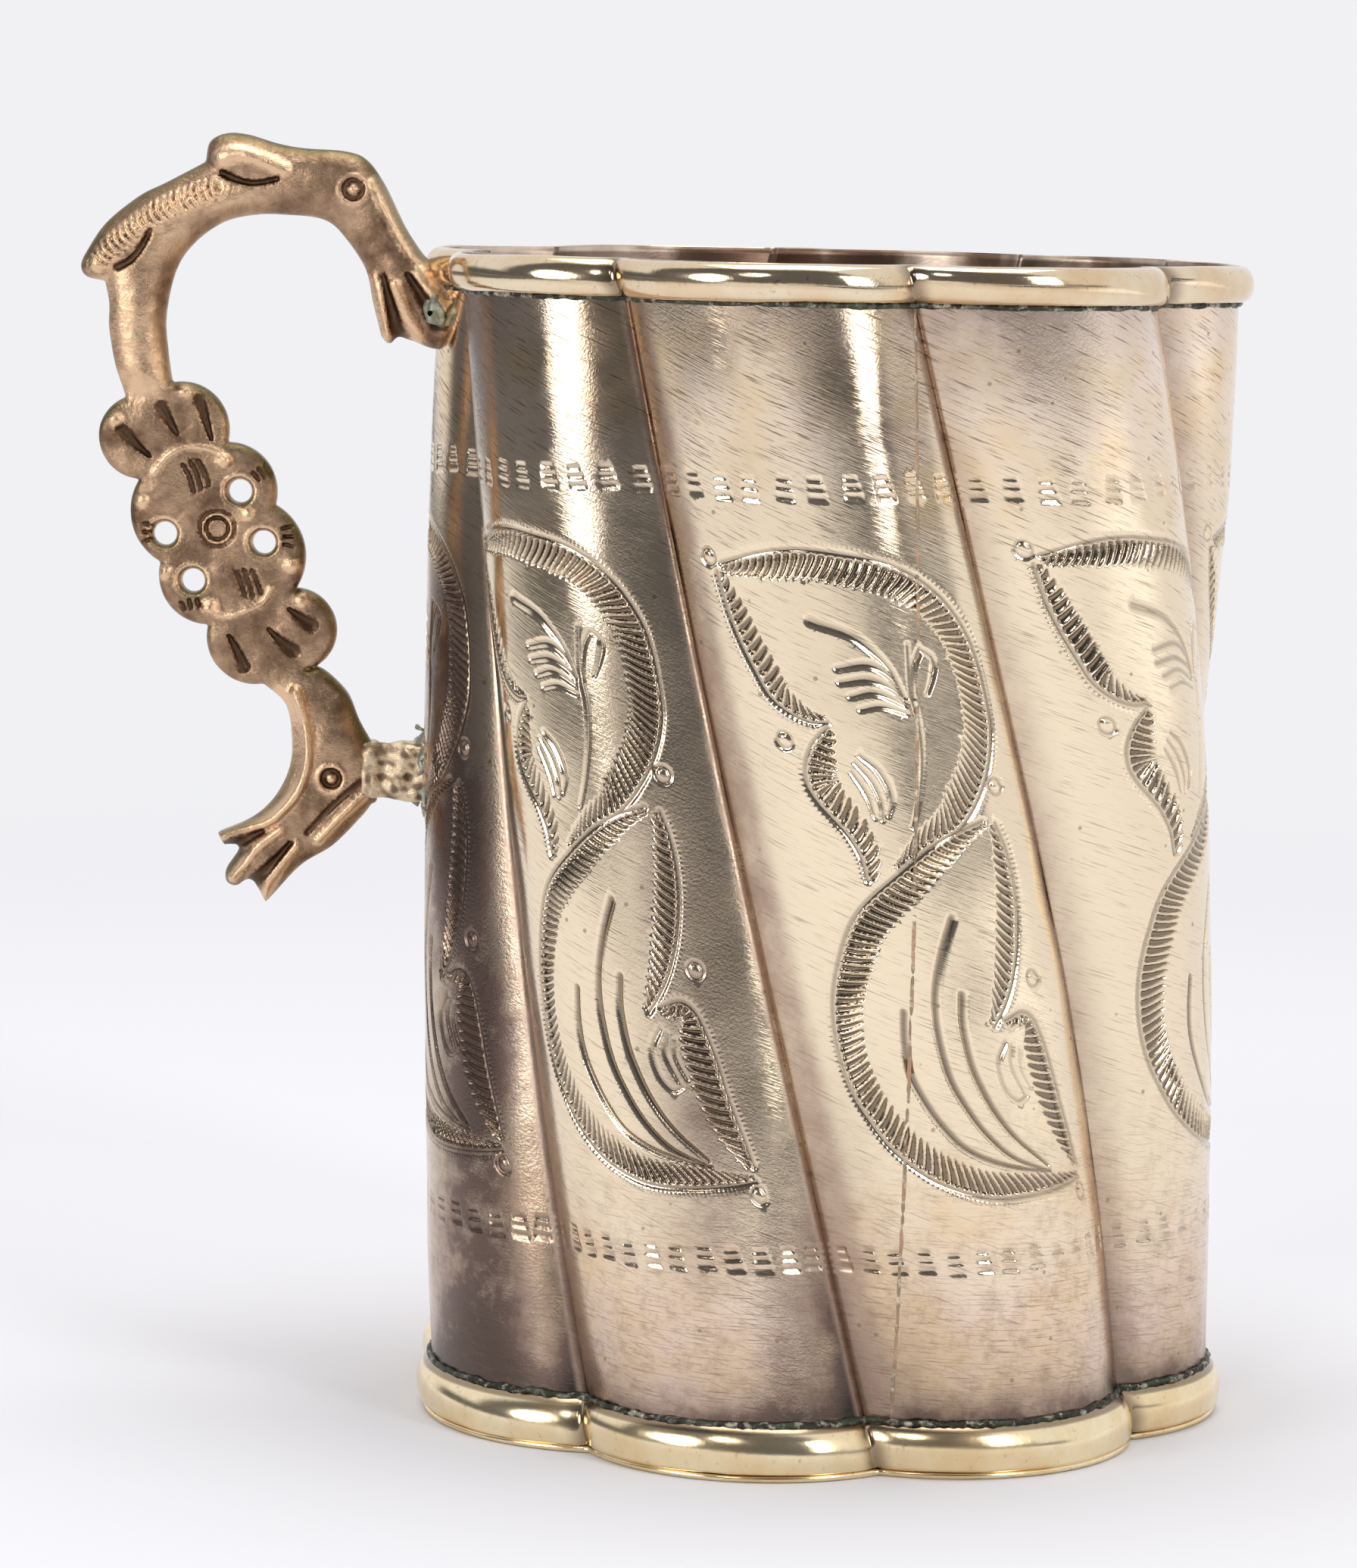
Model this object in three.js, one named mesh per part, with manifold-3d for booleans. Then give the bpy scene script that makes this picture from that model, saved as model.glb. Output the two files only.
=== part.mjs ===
// A silver-plated mug: a fluted, twisted cup of sheet metal with soldered
// mouldings at rim and foot, and a cast beast handle on a small lug.
// Millimetres, +Z up. The origin is the middle of the foot on the table,
// and the handle stands out along -X.

import * as THREE from 'three';
import { mergeVertices } from 'three/addons/utils/BufferGeometryUtils.js';
import Module from 'manifold-3d';

const wasm = await Module();
wasm.setup();

// Cup
const cupHeight = 104; // table to the top of the rim
const wallThickness = 0.9;
const fluteCount = 8;
const lobeRing = 21.2; // circle that the lobes' centres lie on
const lobeRadius = 15.1; // outside of the wall round a lobe's centre
const fluteTwist = 45; // degrees that a groove turns from rim to foot
const rimCrestAngle = 33; // degrees from +X to a crest at the rim
const plateThickness = 0.6;
const plateInset = 0.2; // plate edge inside the foot moulding's face

// Upright soldered seam of the rolled wall
const seamAngle = -77; // degrees from +X
const seamWidth = 0.9;
const seamGap = 0.3; // each side of the solder

// Mouldings round the rim and the foot
const rimHeight = 3.3;
const rimBulge = 1.3; // out from the wall
const rimRound = 0.8; // depth of the moulding's rounded face
const footHeight = 4.2;
const footBulge = 1.2;
const footRound = 0.5;
const solderGap = 0.2; // between a moulding and the wall
const rimBead = 0.6; // solder fillet under the rim moulding
const footBead = 0.8; // solder fillet on the foot moulding

// Handle
const castingThickness = 3.6;
const castingBevel = 0.7;
const holeRadius = 1.05;
const lugLength = 4.8; // wall crest to the casting
const lugDepth = 4.4; // across the handle's plane
const lugCorner = 1.1;
const jointGap = 0.3; // between parts that are soldered together
const solderWall = 0.9; // thickness of the solder round bill and lug
const solderReach = 1.5; // how far that solder stands out from the wall crest

// Steps of the faceted surfaces
const stepsPerLobe = 8;
const wallLevels = 12;
const faceSteps = 6;
const holeSides = 12;
const minStep = 0.02; // outline points closer than this are one point

const crestRadius = lobeRing + lobeRadius;
const pitch = 2 * Math.PI / fluteCount;
const radians = THREE.MathUtils.degToRad;

// One ring of points round the cup at a height, a set distance outside the
// wall. Every lobe is an arc, and neighbouring arcs meet in a groove.
function lobedRing(offset, z) {
  const radius = lobeRadius + offset;
  const halfPitch = pitch / 2;
  const halfArc = halfPitch + Math.asin(lobeRing * Math.sin(halfPitch) / radius);
  const turn = radians(rimCrestAngle + fluteTwist * (cupHeight - z) / cupHeight);
  const points = [];
  for (let lobe = 0; lobe < fluteCount; lobe += 1) {
    const crest = turn + lobe * pitch;
    for (let step = 0; step < stepsPerLobe; step += 1) {
      const arc = halfArc * (2 * step / stepsPerLobe - 1);
      const along = lobeRing + radius * Math.cos(arc);
      const across = radius * Math.sin(arc);
      const x = along * Math.cos(crest) - across * Math.sin(crest);
      const y = along * Math.sin(crest) + across * Math.cos(crest);
      points.push(new THREE.Vector3(x, y, z));
    }
  }
  return points;
}

function indexedGeometry(points, triangles) {
  const geometry = new THREE.BufferGeometry().setFromPoints(points);
  geometry.setIndex(triangles);
  return geometry;
}

function joinRings(triangles, lower, upper, count) {
  for (let j = 0; j < count; j += 1) {
    const next = (j + 1) % count;
    triangles.push(lower + j, lower + next, upper + next);
    triangles.push(lower + j, upper + next, upper + j);
  }
}

// A closed section of [offset, height] corners, anticlockwise with the axis
// on its left, carried round the cup.
function lobedBand(section) {
  const points = [];
  const triangles = [];
  const count = fluteCount * stepsPerLobe;
  for (const [offset, z] of section) {
    points.push(...lobedRing(offset, z));
  }
  for (let i = 0; i < section.length; i += 1) {
    joinRings(triangles, i * count, ((i + 1) % section.length) * count, count);
  }
  return indexedGeometry(points, triangles);
}

// A solid slab with the cup's outline, between two heights.
function lobedSlab(offset, bottom, top, levels) {
  const points = [];
  const triangles = [];
  const count = fluteCount * stepsPerLobe;
  for (let i = 0; i <= levels; i += 1) {
    points.push(...lobedRing(offset, bottom + (top - bottom) * i / levels));
    if (i > 0) {
      joinRings(triangles, (i - 1) * count, i * count, count);
    }
  }
  const lowCentre = points.length;
  points.push(new THREE.Vector3(0, 0, bottom), new THREE.Vector3(0, 0, top));
  const lastRing = levels * count;
  for (let j = 0; j < count; j += 1) {
    const next = (j + 1) % count;
    triangles.push(lowCentre, next, j);
    triangles.push(lowCentre + 1, lastRing + j, lastRing + next);
  }
  return indexedGeometry(points, triangles);
}

function toSolid(geometry) {
  const bare = geometry.clone();
  bare.deleteAttribute('normal');
  bare.deleteAttribute('uv');
  const merged = mergeVertices(bare, 1e-4);
  return new wasm.Manifold(new wasm.Mesh({
    numProp: 3,
    vertProperties: new Float32Array(merged.attributes.position.array),
    triVerts: new Uint32Array(merged.index.array),
  }));
}

function toGeometry(solid) {
  const mesh = solid.getMesh();
  const geometry = new THREE.BufferGeometry();
  geometry.setAttribute('position', new THREE.BufferAttribute(mesh.vertProperties, 3));
  geometry.setIndex(new THREE.BufferAttribute(mesh.triVerts, 1));
  return geometry;
}

// A thin upright slice through the wall at the seam.
function seamSlice(width) {
  const slice = new THREE.BoxGeometry(crestRadius, width, 2 * cupHeight);
  slice.translate(crestRadius, 0, cupHeight / 2);
  slice.rotateZ(radians(seamAngle));
  return toSolid(slice);
}

function rolledWall() {
  const section = [];
  for (let i = 0; i <= wallLevels; i += 1) {
    section.push([0, plateThickness + (cupHeight - plateThickness) * i / wallLevels]);
  }
  for (let i = wallLevels; i >= 0; i -= 1) {
    section.push([-wallThickness, plateThickness + (cupHeight - plateThickness) * i / wallLevels]);
  }
  return toSolid(lobedBand(section));
}

// Half-round moulding: a flat back against the wall and half an ellipse.
function mouldingSection(bottom, top, bulge, round) {
  const section = [[solderGap, bottom]];
  const half = (top - bottom) / 2;
  for (let i = 0; i <= faceSteps; i += 1) {
    const turn = Math.PI * (i / faceSteps - 0.5);
    section.push([bulge - round + round * Math.cos(turn), bottom + half + half * Math.sin(turn)]);
  }
  section.push([solderGap, top]);
  return section;
}

// Three-cornered solder fillet between the wall and a moulding.
function beadSection(size, seat, up) {
  const foot = [solderGap, seat];
  const toe = [solderGap + size, seat];
  const head = [solderGap, seat + up * size];
  return up > 0 ? [foot, toe, head] : [foot, head, toe];
}

// Handle casting. Its points are [out, up]: outward from the lug's seat, and
// upward from the rim's top.
function castingPoint([out, up]) {
  return new THREE.Vector2(-(crestRadius + lugLength + out), cupHeight + up);
}

const billInside = -(lugLength + 2); // bill's end before it is cut to the cup
const billTop = [-5.2, -1.6];
const billTip = [[-1, -8.7], [-2.4, -8.2], [-5.2, -9.1]];
const browAndEar = [[-2.7, 1.2], [-0.4, 5.6], [1.3, 7.8], [3.3, 8.5], [7, 8.7], [11.9, 9.8], [14, 9.9],
  [15.4, 9.1], [15.7, 7.3]];
const mane = [[19.3, 5.4], [21.8, 4.1], [24.7, 1.7], [26.4, -0.8], [27.1, -2.3], [26.6, -3.3], [24.8, -3.6]];
const neckOutside = [[24.4, -7.9], [23.8, -11.1], [22.9, -14]];
const neckInside = [[19, -9.8], [19.2, -6.5], [18.3, -2.4], [16.6, 0.1], [14.1, 1.9], [11.4, 2.6],
  [8.7, 2.7], [5, 2.3], [3, 0.6], [1.2, -2.1], [0.5, -5], [-0.3, -8.1]];

// The plaque between the beasts looks the same after a half turn, so one side
// gives both: a lobe's bulge and the notch after it, from the top.
const plaqueMiddle = [14.3, -26.2];
const plaqueLobes = [
  [[25.1, -16.6], [21.5, -21.4]],
  [[22.2, -25.2], [19.5, -28.9]],
  [[18.6, -32.9], [15.1, -34.5]],
  [[13.4, -39.1], [10, -39.8]],
];
const plaqueHoles = [[19.1, -26.2], [16.5, -30.5]];

const napeOutside = [[8, -41.6], [7.4, -44.5], [7.5, -47.1], [8.4, -49.4], [9.8, -51.2], [14, -53.6]];
const jawTeeth = [[13.2, -55.3], [13.3, -58], [11.1, -57.8], [9.4, -59.7]];
const jawBottom = [[6.4, -56.4], [3.5, -54.5], [0.9, -51.8]];
const lugSeat = [[0, -50.6], [0, -45.2]];
const napeInside = [[1.2, -43], [2.4, -40.4]];

function halfTurn([out, up]) {
  return [2 * plaqueMiddle[0] - out, 2 * plaqueMiddle[1] - up];
}

// Adds the circular arc from the path's end through a bulge to an end point.
function arcThrough(path, bulgePoint, endPoint) {
  const a = path.currentPoint.clone();
  const b = castingPoint(bulgePoint);
  const c = castingPoint(endPoint);
  const ab = b.clone().sub(a);
  const ac = c.clone().sub(a);
  const cross = 2 * ab.cross(ac);
  const centreX = a.x + (ac.y * ab.lengthSq() - ab.y * ac.lengthSq()) / cross;
  const centreY = a.y + (ab.x * ac.lengthSq() - ac.x * ab.lengthSq()) / cross;
  const radius = Math.hypot(a.x - centreX, a.y - centreY);
  const start = Math.atan2(a.y - centreY, a.x - centreX);
  const end = Math.atan2(c.y - centreY, c.x - centreX);
  path.absarc(centreX, centreY, radius, start, end, cross < 0);
}

function smoothTo(path, points) {
  path.splineThru(points.map(castingPoint));
}

function cornersTo(path, points) {
  for (const point of points.map(castingPoint)) {
    path.lineTo(point.x, point.y);
  }
}

function castingOutline() {
  const shape = new THREE.Shape();
  const start = castingPoint([billInside, billTop[1]]);
  shape.moveTo(start.x, start.y);
  cornersTo(shape, [billTop]);
  smoothTo(shape, browAndEar);
  smoothTo(shape, mane);
  smoothTo(shape, neckOutside);
  for (const [bulge, notch] of plaqueLobes) {
    arcThrough(shape, bulge, notch);
  }
  smoothTo(shape, napeOutside);
  cornersTo(shape, jawTeeth);
  smoothTo(shape, jawBottom);
  cornersTo(shape, lugSeat);
  smoothTo(shape, [...napeInside, halfTurn(neckOutside.at(-1))]);
  for (const [bulge, notch] of plaqueLobes) {
    arcThrough(shape, halfTurn(bulge), halfTurn(notch));
  }
  smoothTo(shape, neckInside);
  cornersTo(shape, [...billTip, [billInside, billTip.at(-1)[1]]]);
  shape.closePath();
  const points = shape.extractPoints(3).shape;
  return new THREE.Shape(points.filter((point, i) => point.distanceTo(points.at(i - 1)) > minStep));
}

function castingBlank() {
  const geometry = new THREE.ExtrudeGeometry(castingOutline(), {
    depth: castingThickness - 2 * castingBevel,
    bevelSegments: 2,
    bevelThickness: castingBevel,
    bevelSize: castingBevel,
    bevelOffset: -castingBevel,
  });
  geometry.translate(0, 0, castingBevel - castingThickness / 2);
  geometry.rotateX(Math.PI / 2);
  let blank = toSolid(geometry);
  for (const hole of [...plaqueHoles, ...plaqueHoles.map(halfTurn)]) {
    const centre = castingPoint(hole);
    const drill = new THREE.CylinderGeometry(holeRadius, holeRadius, 2 * castingThickness, holeSides);
    drill.translate(centre.x, 0, centre.y);
    blank = blank.subtract(toSolid(drill));
  }
  return blank;
}

// Rounded rectangle in the YZ plane, as a path or a shape.
function roundedRectangle(path, halfWidth, bottom, top, corner) {
  path.moveTo(-halfWidth + corner, bottom);
  path.absarc(halfWidth - corner, bottom + corner, corner, -Math.PI / 2, 0);
  path.absarc(halfWidth - corner, top - corner, corner, 0, Math.PI / 2);
  path.absarc(-halfWidth + corner, top - corner, corner, Math.PI / 2, Math.PI);
  path.absarc(-halfWidth + corner, bottom + corner, corner, Math.PI, 3 * Math.PI / 2);
  path.closePath();
  return path;
}

// Carries an outline drawn in the YZ plane along -X, from inside the wall to
// a distance outside the wall's crest.
function barAlongX(shape, reach) {
  const inside = lobeRadius / 2;
  const geometry = new THREE.ExtrudeGeometry(shape, {
    depth: inside + reach,
    curveSegments: 3,
    bevelEnabled: false,
  });
  geometry.rotateX(Math.PI / 2);
  geometry.rotateZ(-Math.PI / 2);
  geometry.translate(-crestRadius + inside, 0, 0);
  return toSolid(geometry);
}

const [lugBottom, lugTop] = lugSeat.map(([, up]) => cupHeight + up);

function lugBlank() {
  const shape = roundedRectangle(new THREE.Shape(), lugDepth / 2, lugBottom, lugTop, lugCorner);
  return barAlongX(shape, lugLength - jointGap);
}

// Solder collar round the lug where it meets the wall.
function lugSolderBlank() {
  const top = lugTop + jointGap;
  const bottom = lugBottom - jointGap;
  const half = lugDepth / 2 + jointGap;
  const corner = lugCorner + jointGap;
  const w = solderWall;
  const shape = roundedRectangle(new THREE.Shape(), half + w, bottom - w, top + w, corner + w);
  shape.holes.push(roundedRectangle(new THREE.Path(), half, bottom, top, corner));
  return barAlongX(shape, solderReach);
}

// Solder cradle under the bill and up both its sides, below the rim.
function billSolderBlank() {
  const top = cupHeight - rimHeight - rimBead - 2 * jointGap;
  const bottom = cupHeight + billTip.at(-1)[1] - jointGap;
  const inner = castingThickness / 2 + jointGap;
  const outer = inner + solderWall;
  const shape = new THREE.Shape();
  shape.moveTo(inner, top);
  shape.lineTo(inner, bottom);
  shape.lineTo(-inner, bottom);
  shape.lineTo(-inner, top);
  shape.lineTo(-outer, top);
  shape.lineTo(-outer, bottom);
  shape.absarc(-inner, bottom, solderWall, Math.PI, 3 * Math.PI / 2);
  shape.absarc(inner, bottom, solderWall, 3 * Math.PI / 2, 2 * Math.PI);
  shape.lineTo(outer, top);
  shape.closePath();
  return barAlongX(shape, solderReach);
}

const plating = { color: 0xcdbfa8, roughness: 0.32, metalness: 1 };
const gilt = { color: 0xd6bd84, roughness: 0.24, metalness: 1 };
const bronze = { color: 0x8a6a4e, roughness: 0.38, metalness: 1 };
const roughBronze = { color: 0xa98d6b, roughness: 0.55, metalness: 1 };
const solder = { color: 0x8d9186, roughness: 0.6, metalness: 0.8 };

const mug = new THREE.Group();

function addPart(name, geometry, finish) {
  const mesh = new THREE.Mesh(geometry, new THREE.MeshStandardMaterial(finish));
  mesh.name = name;
  mug.add(mesh);
}

const rimBottom = cupHeight - rimHeight;
const footTop = plateThickness + footHeight;
const cupClearance = toSolid(lobedSlab(jointGap, 0, cupHeight, wallLevels));
const rimZone = rimBottom - rimBead - jointGap;
const rimClearance = toSolid(lobedSlab(rimBulge + jointGap, rimZone, cupHeight + rimHeight, wallLevels));

const wall = rolledWall();
addPart('body_wall', toGeometry(wall.subtract(seamSlice(seamWidth + 2 * seamGap))), plating);
addPart('seam_solder', toGeometry(wall.intersect(seamSlice(seamWidth))), solder);
addPart('bottom_plate', lobedSlab(footBulge - plateInset, 0, plateThickness, 1), gilt);

addPart('rim_moulding', lobedBand(mouldingSection(rimBottom, cupHeight, rimBulge, rimRound)), gilt);
addPart('rim_solder_bead', lobedBand(beadSection(rimBead, rimBottom, -1)), solder);
addPart('foot_moulding', lobedBand(mouldingSection(plateThickness, footTop, footBulge, footRound)), gilt);
addPart('foot_solder_bead', lobedBand(beadSection(footBead, footTop, 1)), solder);

const casting = castingBlank().subtract(cupClearance).subtract(rimClearance);
addPart('handle_casting', toGeometry(casting), bronze);
addPart('handle_lug', toGeometry(lugBlank().subtract(cupClearance)), roughBronze);
addPart('bill_solder', toGeometry(billSolderBlank().subtract(cupClearance)), solder);
addPart('lug_solder', toGeometry(lugSolderBlank().subtract(cupClearance)), solder);

export default mug;
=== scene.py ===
from functools import partial
import bpy
import numpy as np
from mathutils import Matrix


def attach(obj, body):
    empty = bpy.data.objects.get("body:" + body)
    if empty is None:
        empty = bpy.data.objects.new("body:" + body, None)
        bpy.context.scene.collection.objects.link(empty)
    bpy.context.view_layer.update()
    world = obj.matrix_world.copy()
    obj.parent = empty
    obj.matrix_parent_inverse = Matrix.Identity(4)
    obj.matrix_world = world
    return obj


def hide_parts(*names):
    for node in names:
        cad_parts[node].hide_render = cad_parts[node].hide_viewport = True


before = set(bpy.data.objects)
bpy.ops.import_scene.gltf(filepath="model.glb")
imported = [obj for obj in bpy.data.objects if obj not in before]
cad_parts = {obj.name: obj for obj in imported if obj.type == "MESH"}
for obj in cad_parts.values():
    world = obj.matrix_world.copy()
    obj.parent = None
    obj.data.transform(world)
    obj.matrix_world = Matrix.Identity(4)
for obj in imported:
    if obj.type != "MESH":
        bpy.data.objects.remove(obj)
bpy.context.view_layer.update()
print("frame loaded with", len(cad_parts), "nodes")

metre = 0.001  # shapes are worked out in millimetres and put into meshes in metres


def linearColour(hexCode):
    # sRGB to linear: the low end divided by 12.92, the rest through the 2.4 power
    parts = np.array([int(hexCode[i:i + 2], 16) for i in (0, 2, 4)]) / 255
    linear = np.where(parts <= 0.04045, parts / 12.92, ((parts + 0.055) / 1.055) ** 2.4)
    return (*linear.tolist(), 1.0)


# settings that many nodes share
ease = {"interpolation_type": "SMOOTHSTEP"}
blend = {"data_type": "RGBA"}
times, addTo, larger = ({"operation": kind} for kind in ("MULTIPLY", "MULTIPLY_ADD", "MAXIMUM"))


def addNode(tree, kind, settings, inputs):
    # inputs are listed from the first socket on, or keyed by socket; text is a hex colour
    node = tree.nodes.new("ShaderNode" + kind)
    for key, value in settings.items():
        setattr(node, key, value)
    for key, value in inputs.items() if isinstance(inputs, dict) else enumerate(inputs):
        if isinstance(value, bpy.types.NodeSocket):
            tree.links.new(value, node.inputs[key])
        else:
            node.inputs[key].default_value = linearColour(value) if isinstance(value, str) else value
    return node.outputs


def newFinish(name, grains=(), scale=1000.0):
    # an empty material, its object coordinates, which scale turns from metres to millimetres, and a noise
    # field for each grain of (scale, detail, roughness)
    finish = bpy.data.materials.new(name)
    finish.use_nodes = True
    finish.node_tree.nodes.clear()
    put = partial(addNode, finish.node_tree)
    spot = put("TexCoord", {}, [])["Object"]
    spot = put("VectorMath", {"operation": "SCALE"}, {0: spot, "Scale": scale})["Vector"]
    fields = [put("TexNoise", {}, {"Vector": spot, "Scale": size, "Detail": detail, "Roughness": rough})["Fac"]
              for size, detail, rough in grains]
    return finish, put, spot, fields


def layMetal(put, tone, layers, metallic, rough, height, strength, deep):
    # colours laid over the first tone one by one, each by its share, on metal with a fine bump
    for share, over in layers:
        tone = put("Mix", blend, {0: share, 6: tone, 7: over})[2]
    bump = put("Bump", {}, {"Strength": strength, "Distance": deep, "Height": height})[0]
    shader = put("BsdfPrincipled", {}, {
        "Base Color": tone, "Metallic": metallic, "Roughness": rough, "Normal": bump})
    put("OutputMaterial", {}, {"Surface": shader["BSDF"]})


def makePiece(name, points, quads, finish, standsFor, marks=None, triangles=(), flatFrom=None):
    # faces from flatFrom on keep flat shading, so that they leave a crisp edge
    corners = np.concatenate([np.ravel(quads), np.ravel(triangles)]).astype(np.int32)
    sizes = np.concatenate([np.full(len(quads), 4), np.full(len(triangles), 3)])
    starts = np.concatenate([[0], np.cumsum(sizes)[:-1]]).astype(np.int32)
    smooth = np.ones(len(sizes), dtype=bool)
    if flatFrom is not None:
        smooth[flatFrom:len(quads)] = False
    mesh = bpy.data.meshes.new(name)
    mesh.vertices.add(len(points))
    mesh.vertices.foreach_set("co", (points * metre).astype(np.float32).ravel())
    mesh.loops.add(len(corners))
    mesh.loops.foreach_set("vertex_index", corners)
    mesh.polygons.add(len(sizes))
    mesh.polygons.foreach_set("loop_start", starts)
    mesh.polygons.foreach_set("use_smooth", smooth)
    mesh.update(calc_edges=True)
    for key, values in (marks or {}).items():
        kind = "FLOAT" if values.ndim == 1 else "FLOAT_VECTOR"
        layer = mesh.attributes.new(key, kind, "POINT")
        layer.data.foreach_set("value" if values.ndim == 1 else "vector", values.astype(np.float32).ravel())
    mesh.validate()
    mesh.materials.append(finish)
    piece = bpy.data.objects.new(name, mesh)
    bpy.context.scene.collection.objects.link(piece)
    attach(piece, "root")
    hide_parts(*standsFor)
    print(name, "has", int((sizes - 2).sum()), "triangles")


def smoothPath(points, step):
    # Catmull-Rom curve through the points, then evened out to the given step along its length
    p = np.array(points, dtype=float)
    p = np.vstack([2 * p[0] - p[1], p, 2 * p[-1] - p[-2]])
    t = np.linspace(0, 1, 24, endpoint=False)[None, :, None]
    a, b, c, d = p[:-3, None], p[1:-2, None], p[2:-1, None], p[3:, None]
    bend, twist = 2 * a - 5 * b + 4 * c - d, 3 * b - a - 3 * c + d
    curve = 0.5 * (2 * b + (c - a) * t + bend * t ** 2 + twist * t ** 3)
    curve = np.vstack([curve.reshape(-1, p.shape[1]), p[-2]])
    gone = np.concatenate([[0], np.cumsum(np.linalg.norm(np.diff(curve, axis=0), axis=1))])
    even = np.linspace(0, gone[-1], max(3, int(gone[-1] / step) + 1))
    return np.stack([np.interp(even, gone, axis) for axis in curve.T], axis=1)


def nearPath(path, points, reach):
    # for the points within reach of a path: which they are, their distance, positive on the
    # left of the path, the way along it to the nearest place, and the path's whole length
    low, high = path.min(axis=0) - reach, path.max(axis=0) + reach
    near = np.nonzero(((points > low) & (points < high)).all(axis=1))[0]
    step = np.diff(path, axis=0)
    length = np.linalg.norm(step, axis=1)
    gone = np.concatenate([[0], np.cumsum(length)])
    away, along = np.zeros(len(near)), np.zeros(len(near))
    for chunk in np.array_split(np.arange(len(near)), len(near) // 8000 + 1):
        offset = points[near[chunk], None, :] - path[None, :-1, :]
        t = np.clip((offset * step).sum(axis=2) / length ** 2, 0, 1)
        rest = offset - t[:, :, None] * step
        best = (rest ** 2).sum(axis=2).argmin(axis=1)
        pick = np.arange(len(chunk)), best
        turn = step[best, 0] * rest[pick][:, 1] - step[best, 1] * rest[pick][:, 0]
        away[chunk] = np.linalg.norm(rest[pick], axis=1) * np.where(turn < 0, -1, 1)
        along[chunk] = gone[best] + t[pick] * length[best]
    keep = np.abs(away) < reach
    return near[keep], away[keep], along[keep], gone[-1]


def easeStep(low, high, value):
    # 0 below low, 1 above high, and 3t^2 - 2t^3 between
    t = np.clip((value - low) / (high - low), 0, 1)
    return t * t * (3 - 2 * t)


def hump(away, width):
    # rounded rise, 1 - (away / width)^2, and nothing outside the width
    return np.clip(1 - (away / width) ** 2, 0, 1)


def lumps(points, size, seed):
    # sum of 14 sine waves in random directions, their lengths near size, about -1 to 1
    random = np.random.default_rng(seed)
    axes = random.normal(size=(14, 3))
    axes *= (2 * np.pi / (size * random.uniform(0.6, 1.7, 14)) / np.linalg.norm(axes, axis=1))[:, None]
    shift = random.uniform(0, 2 * np.pi, 14)
    total = np.zeros(points.shape[:-1])
    for axis, start in zip(axes, shift):
        total += np.sin(points @ axis + start)
    return total / 4


def waves(points, kinds):
    # sum of lumps of several kinds, each an amount, a size and a seed
    return sum(amount * lumps(points, size, seed) for amount, size, seed in kinds)


def frontAngle(points):
    # degrees round the cup's axis from the front, to the right
    return np.degrees(np.arctan2(points[..., 0], -points[..., 1]))


def withBells(total, points, places):
    # adds bell curves, each by its degrees from the front, spread, height, spread and amount
    angle = frontAngle(points)
    for place, spread, level, tall, amount in places:
        away = np.mod(angle - place + 180, 360) - 180
        total = total + amount * np.exp(-(away / spread) ** 2 - ((points[..., 2] - level) / tall) ** 2)
    return total


def roundAxis(radius, angle, height):
    return np.stack(np.broadcast_arrays(radius * np.cos(angle), radius * np.sin(angle), height), axis=-1)


cup = {
    "height": 104.0,
    "lobes": 8,
    "lobeRing": 21.2,  # lobe centres stand on this circle
    "lobeRadius": 15.1,
    "twist": 45.0,  # degrees that the flutes turn from rim to foot
    "rimCrest": 33.0,  # degrees from +X to the first crest at the rim
    "plate": 0.6,
}
halfPitch = np.pi / cup["lobes"]


def lobeReach(offset):
    # half angle of a lobe's arc: half a pitch plus the arcsine of ring sin(pitch) over the arc's radius
    return halfPitch + np.arcsin(cup["lobeRing"] * np.sin(halfPitch) / (cup["lobeRadius"] + offset))


def crestAngle(lobe, height):
    pitch = np.radians(cup["rimCrest"]) + 2 * halfPitch * lobe
    return pitch + np.radians(cup["twist"]) * (cup["height"] - height) / cup["height"]


def lobedPoint(side, lobe, height, offset):
    # arc of a lobe, side -1 to 1 from groove to groove, set off outward by offset, turned by the crest's angle
    radius = cup["lobeRadius"] + offset
    bend = side * lobeReach(offset)
    out, along = cup["lobeRing"] + radius * np.cos(bend), radius * np.sin(bend)
    crest = crestAngle(lobe, height)
    x = out * np.cos(crest) - along * np.sin(crest)
    y = out * np.sin(crest) + along * np.cos(crest)
    return np.stack(np.broadcast_arrays(x, y, height), axis=-1)


def wallRadius(angle, height):
    # distance of the wall's face from the axis at an angle, and the bend on its lobe's arc there
    turn = np.mod(angle - crestAngle(0, height) + halfPitch, 2 * halfPitch) - halfPitch
    ring, radius = cup["lobeRing"], cup["lobeRadius"]
    out = ring * np.cos(turn) + np.sqrt(radius ** 2 - (ring * np.sin(turn)) ** 2)
    return out, np.arctan2(out * np.sin(turn), out * np.cos(turn) - ring)


# What hand work left uneven: bell curves whose amounts are degrees that the cup is turned.
unevenness = {"turns": [(85, 42, 50, 50, 16.0), (-88, 26, 0, 30, -9.0)]}


def handMade(points):
    # turns the cup's points about its axis
    radius = np.hypot(points[..., 0], points[..., 1])
    turned = np.radians(withBells(frontAngle(points), points, unevenness["turns"]))
    return np.stack([radius * np.sin(turned), -radius * np.cos(turned), points[..., 2]], axis=-1)


def aroundLobes(perLobe):
    # side from -1 to 1 over each lobe, and the lobe's number
    side = np.tile(np.linspace(-1, 1, perLobe, endpoint=False), cup["lobes"])
    return side, np.repeat(np.arange(cup["lobes"]), perLobe)


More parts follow.
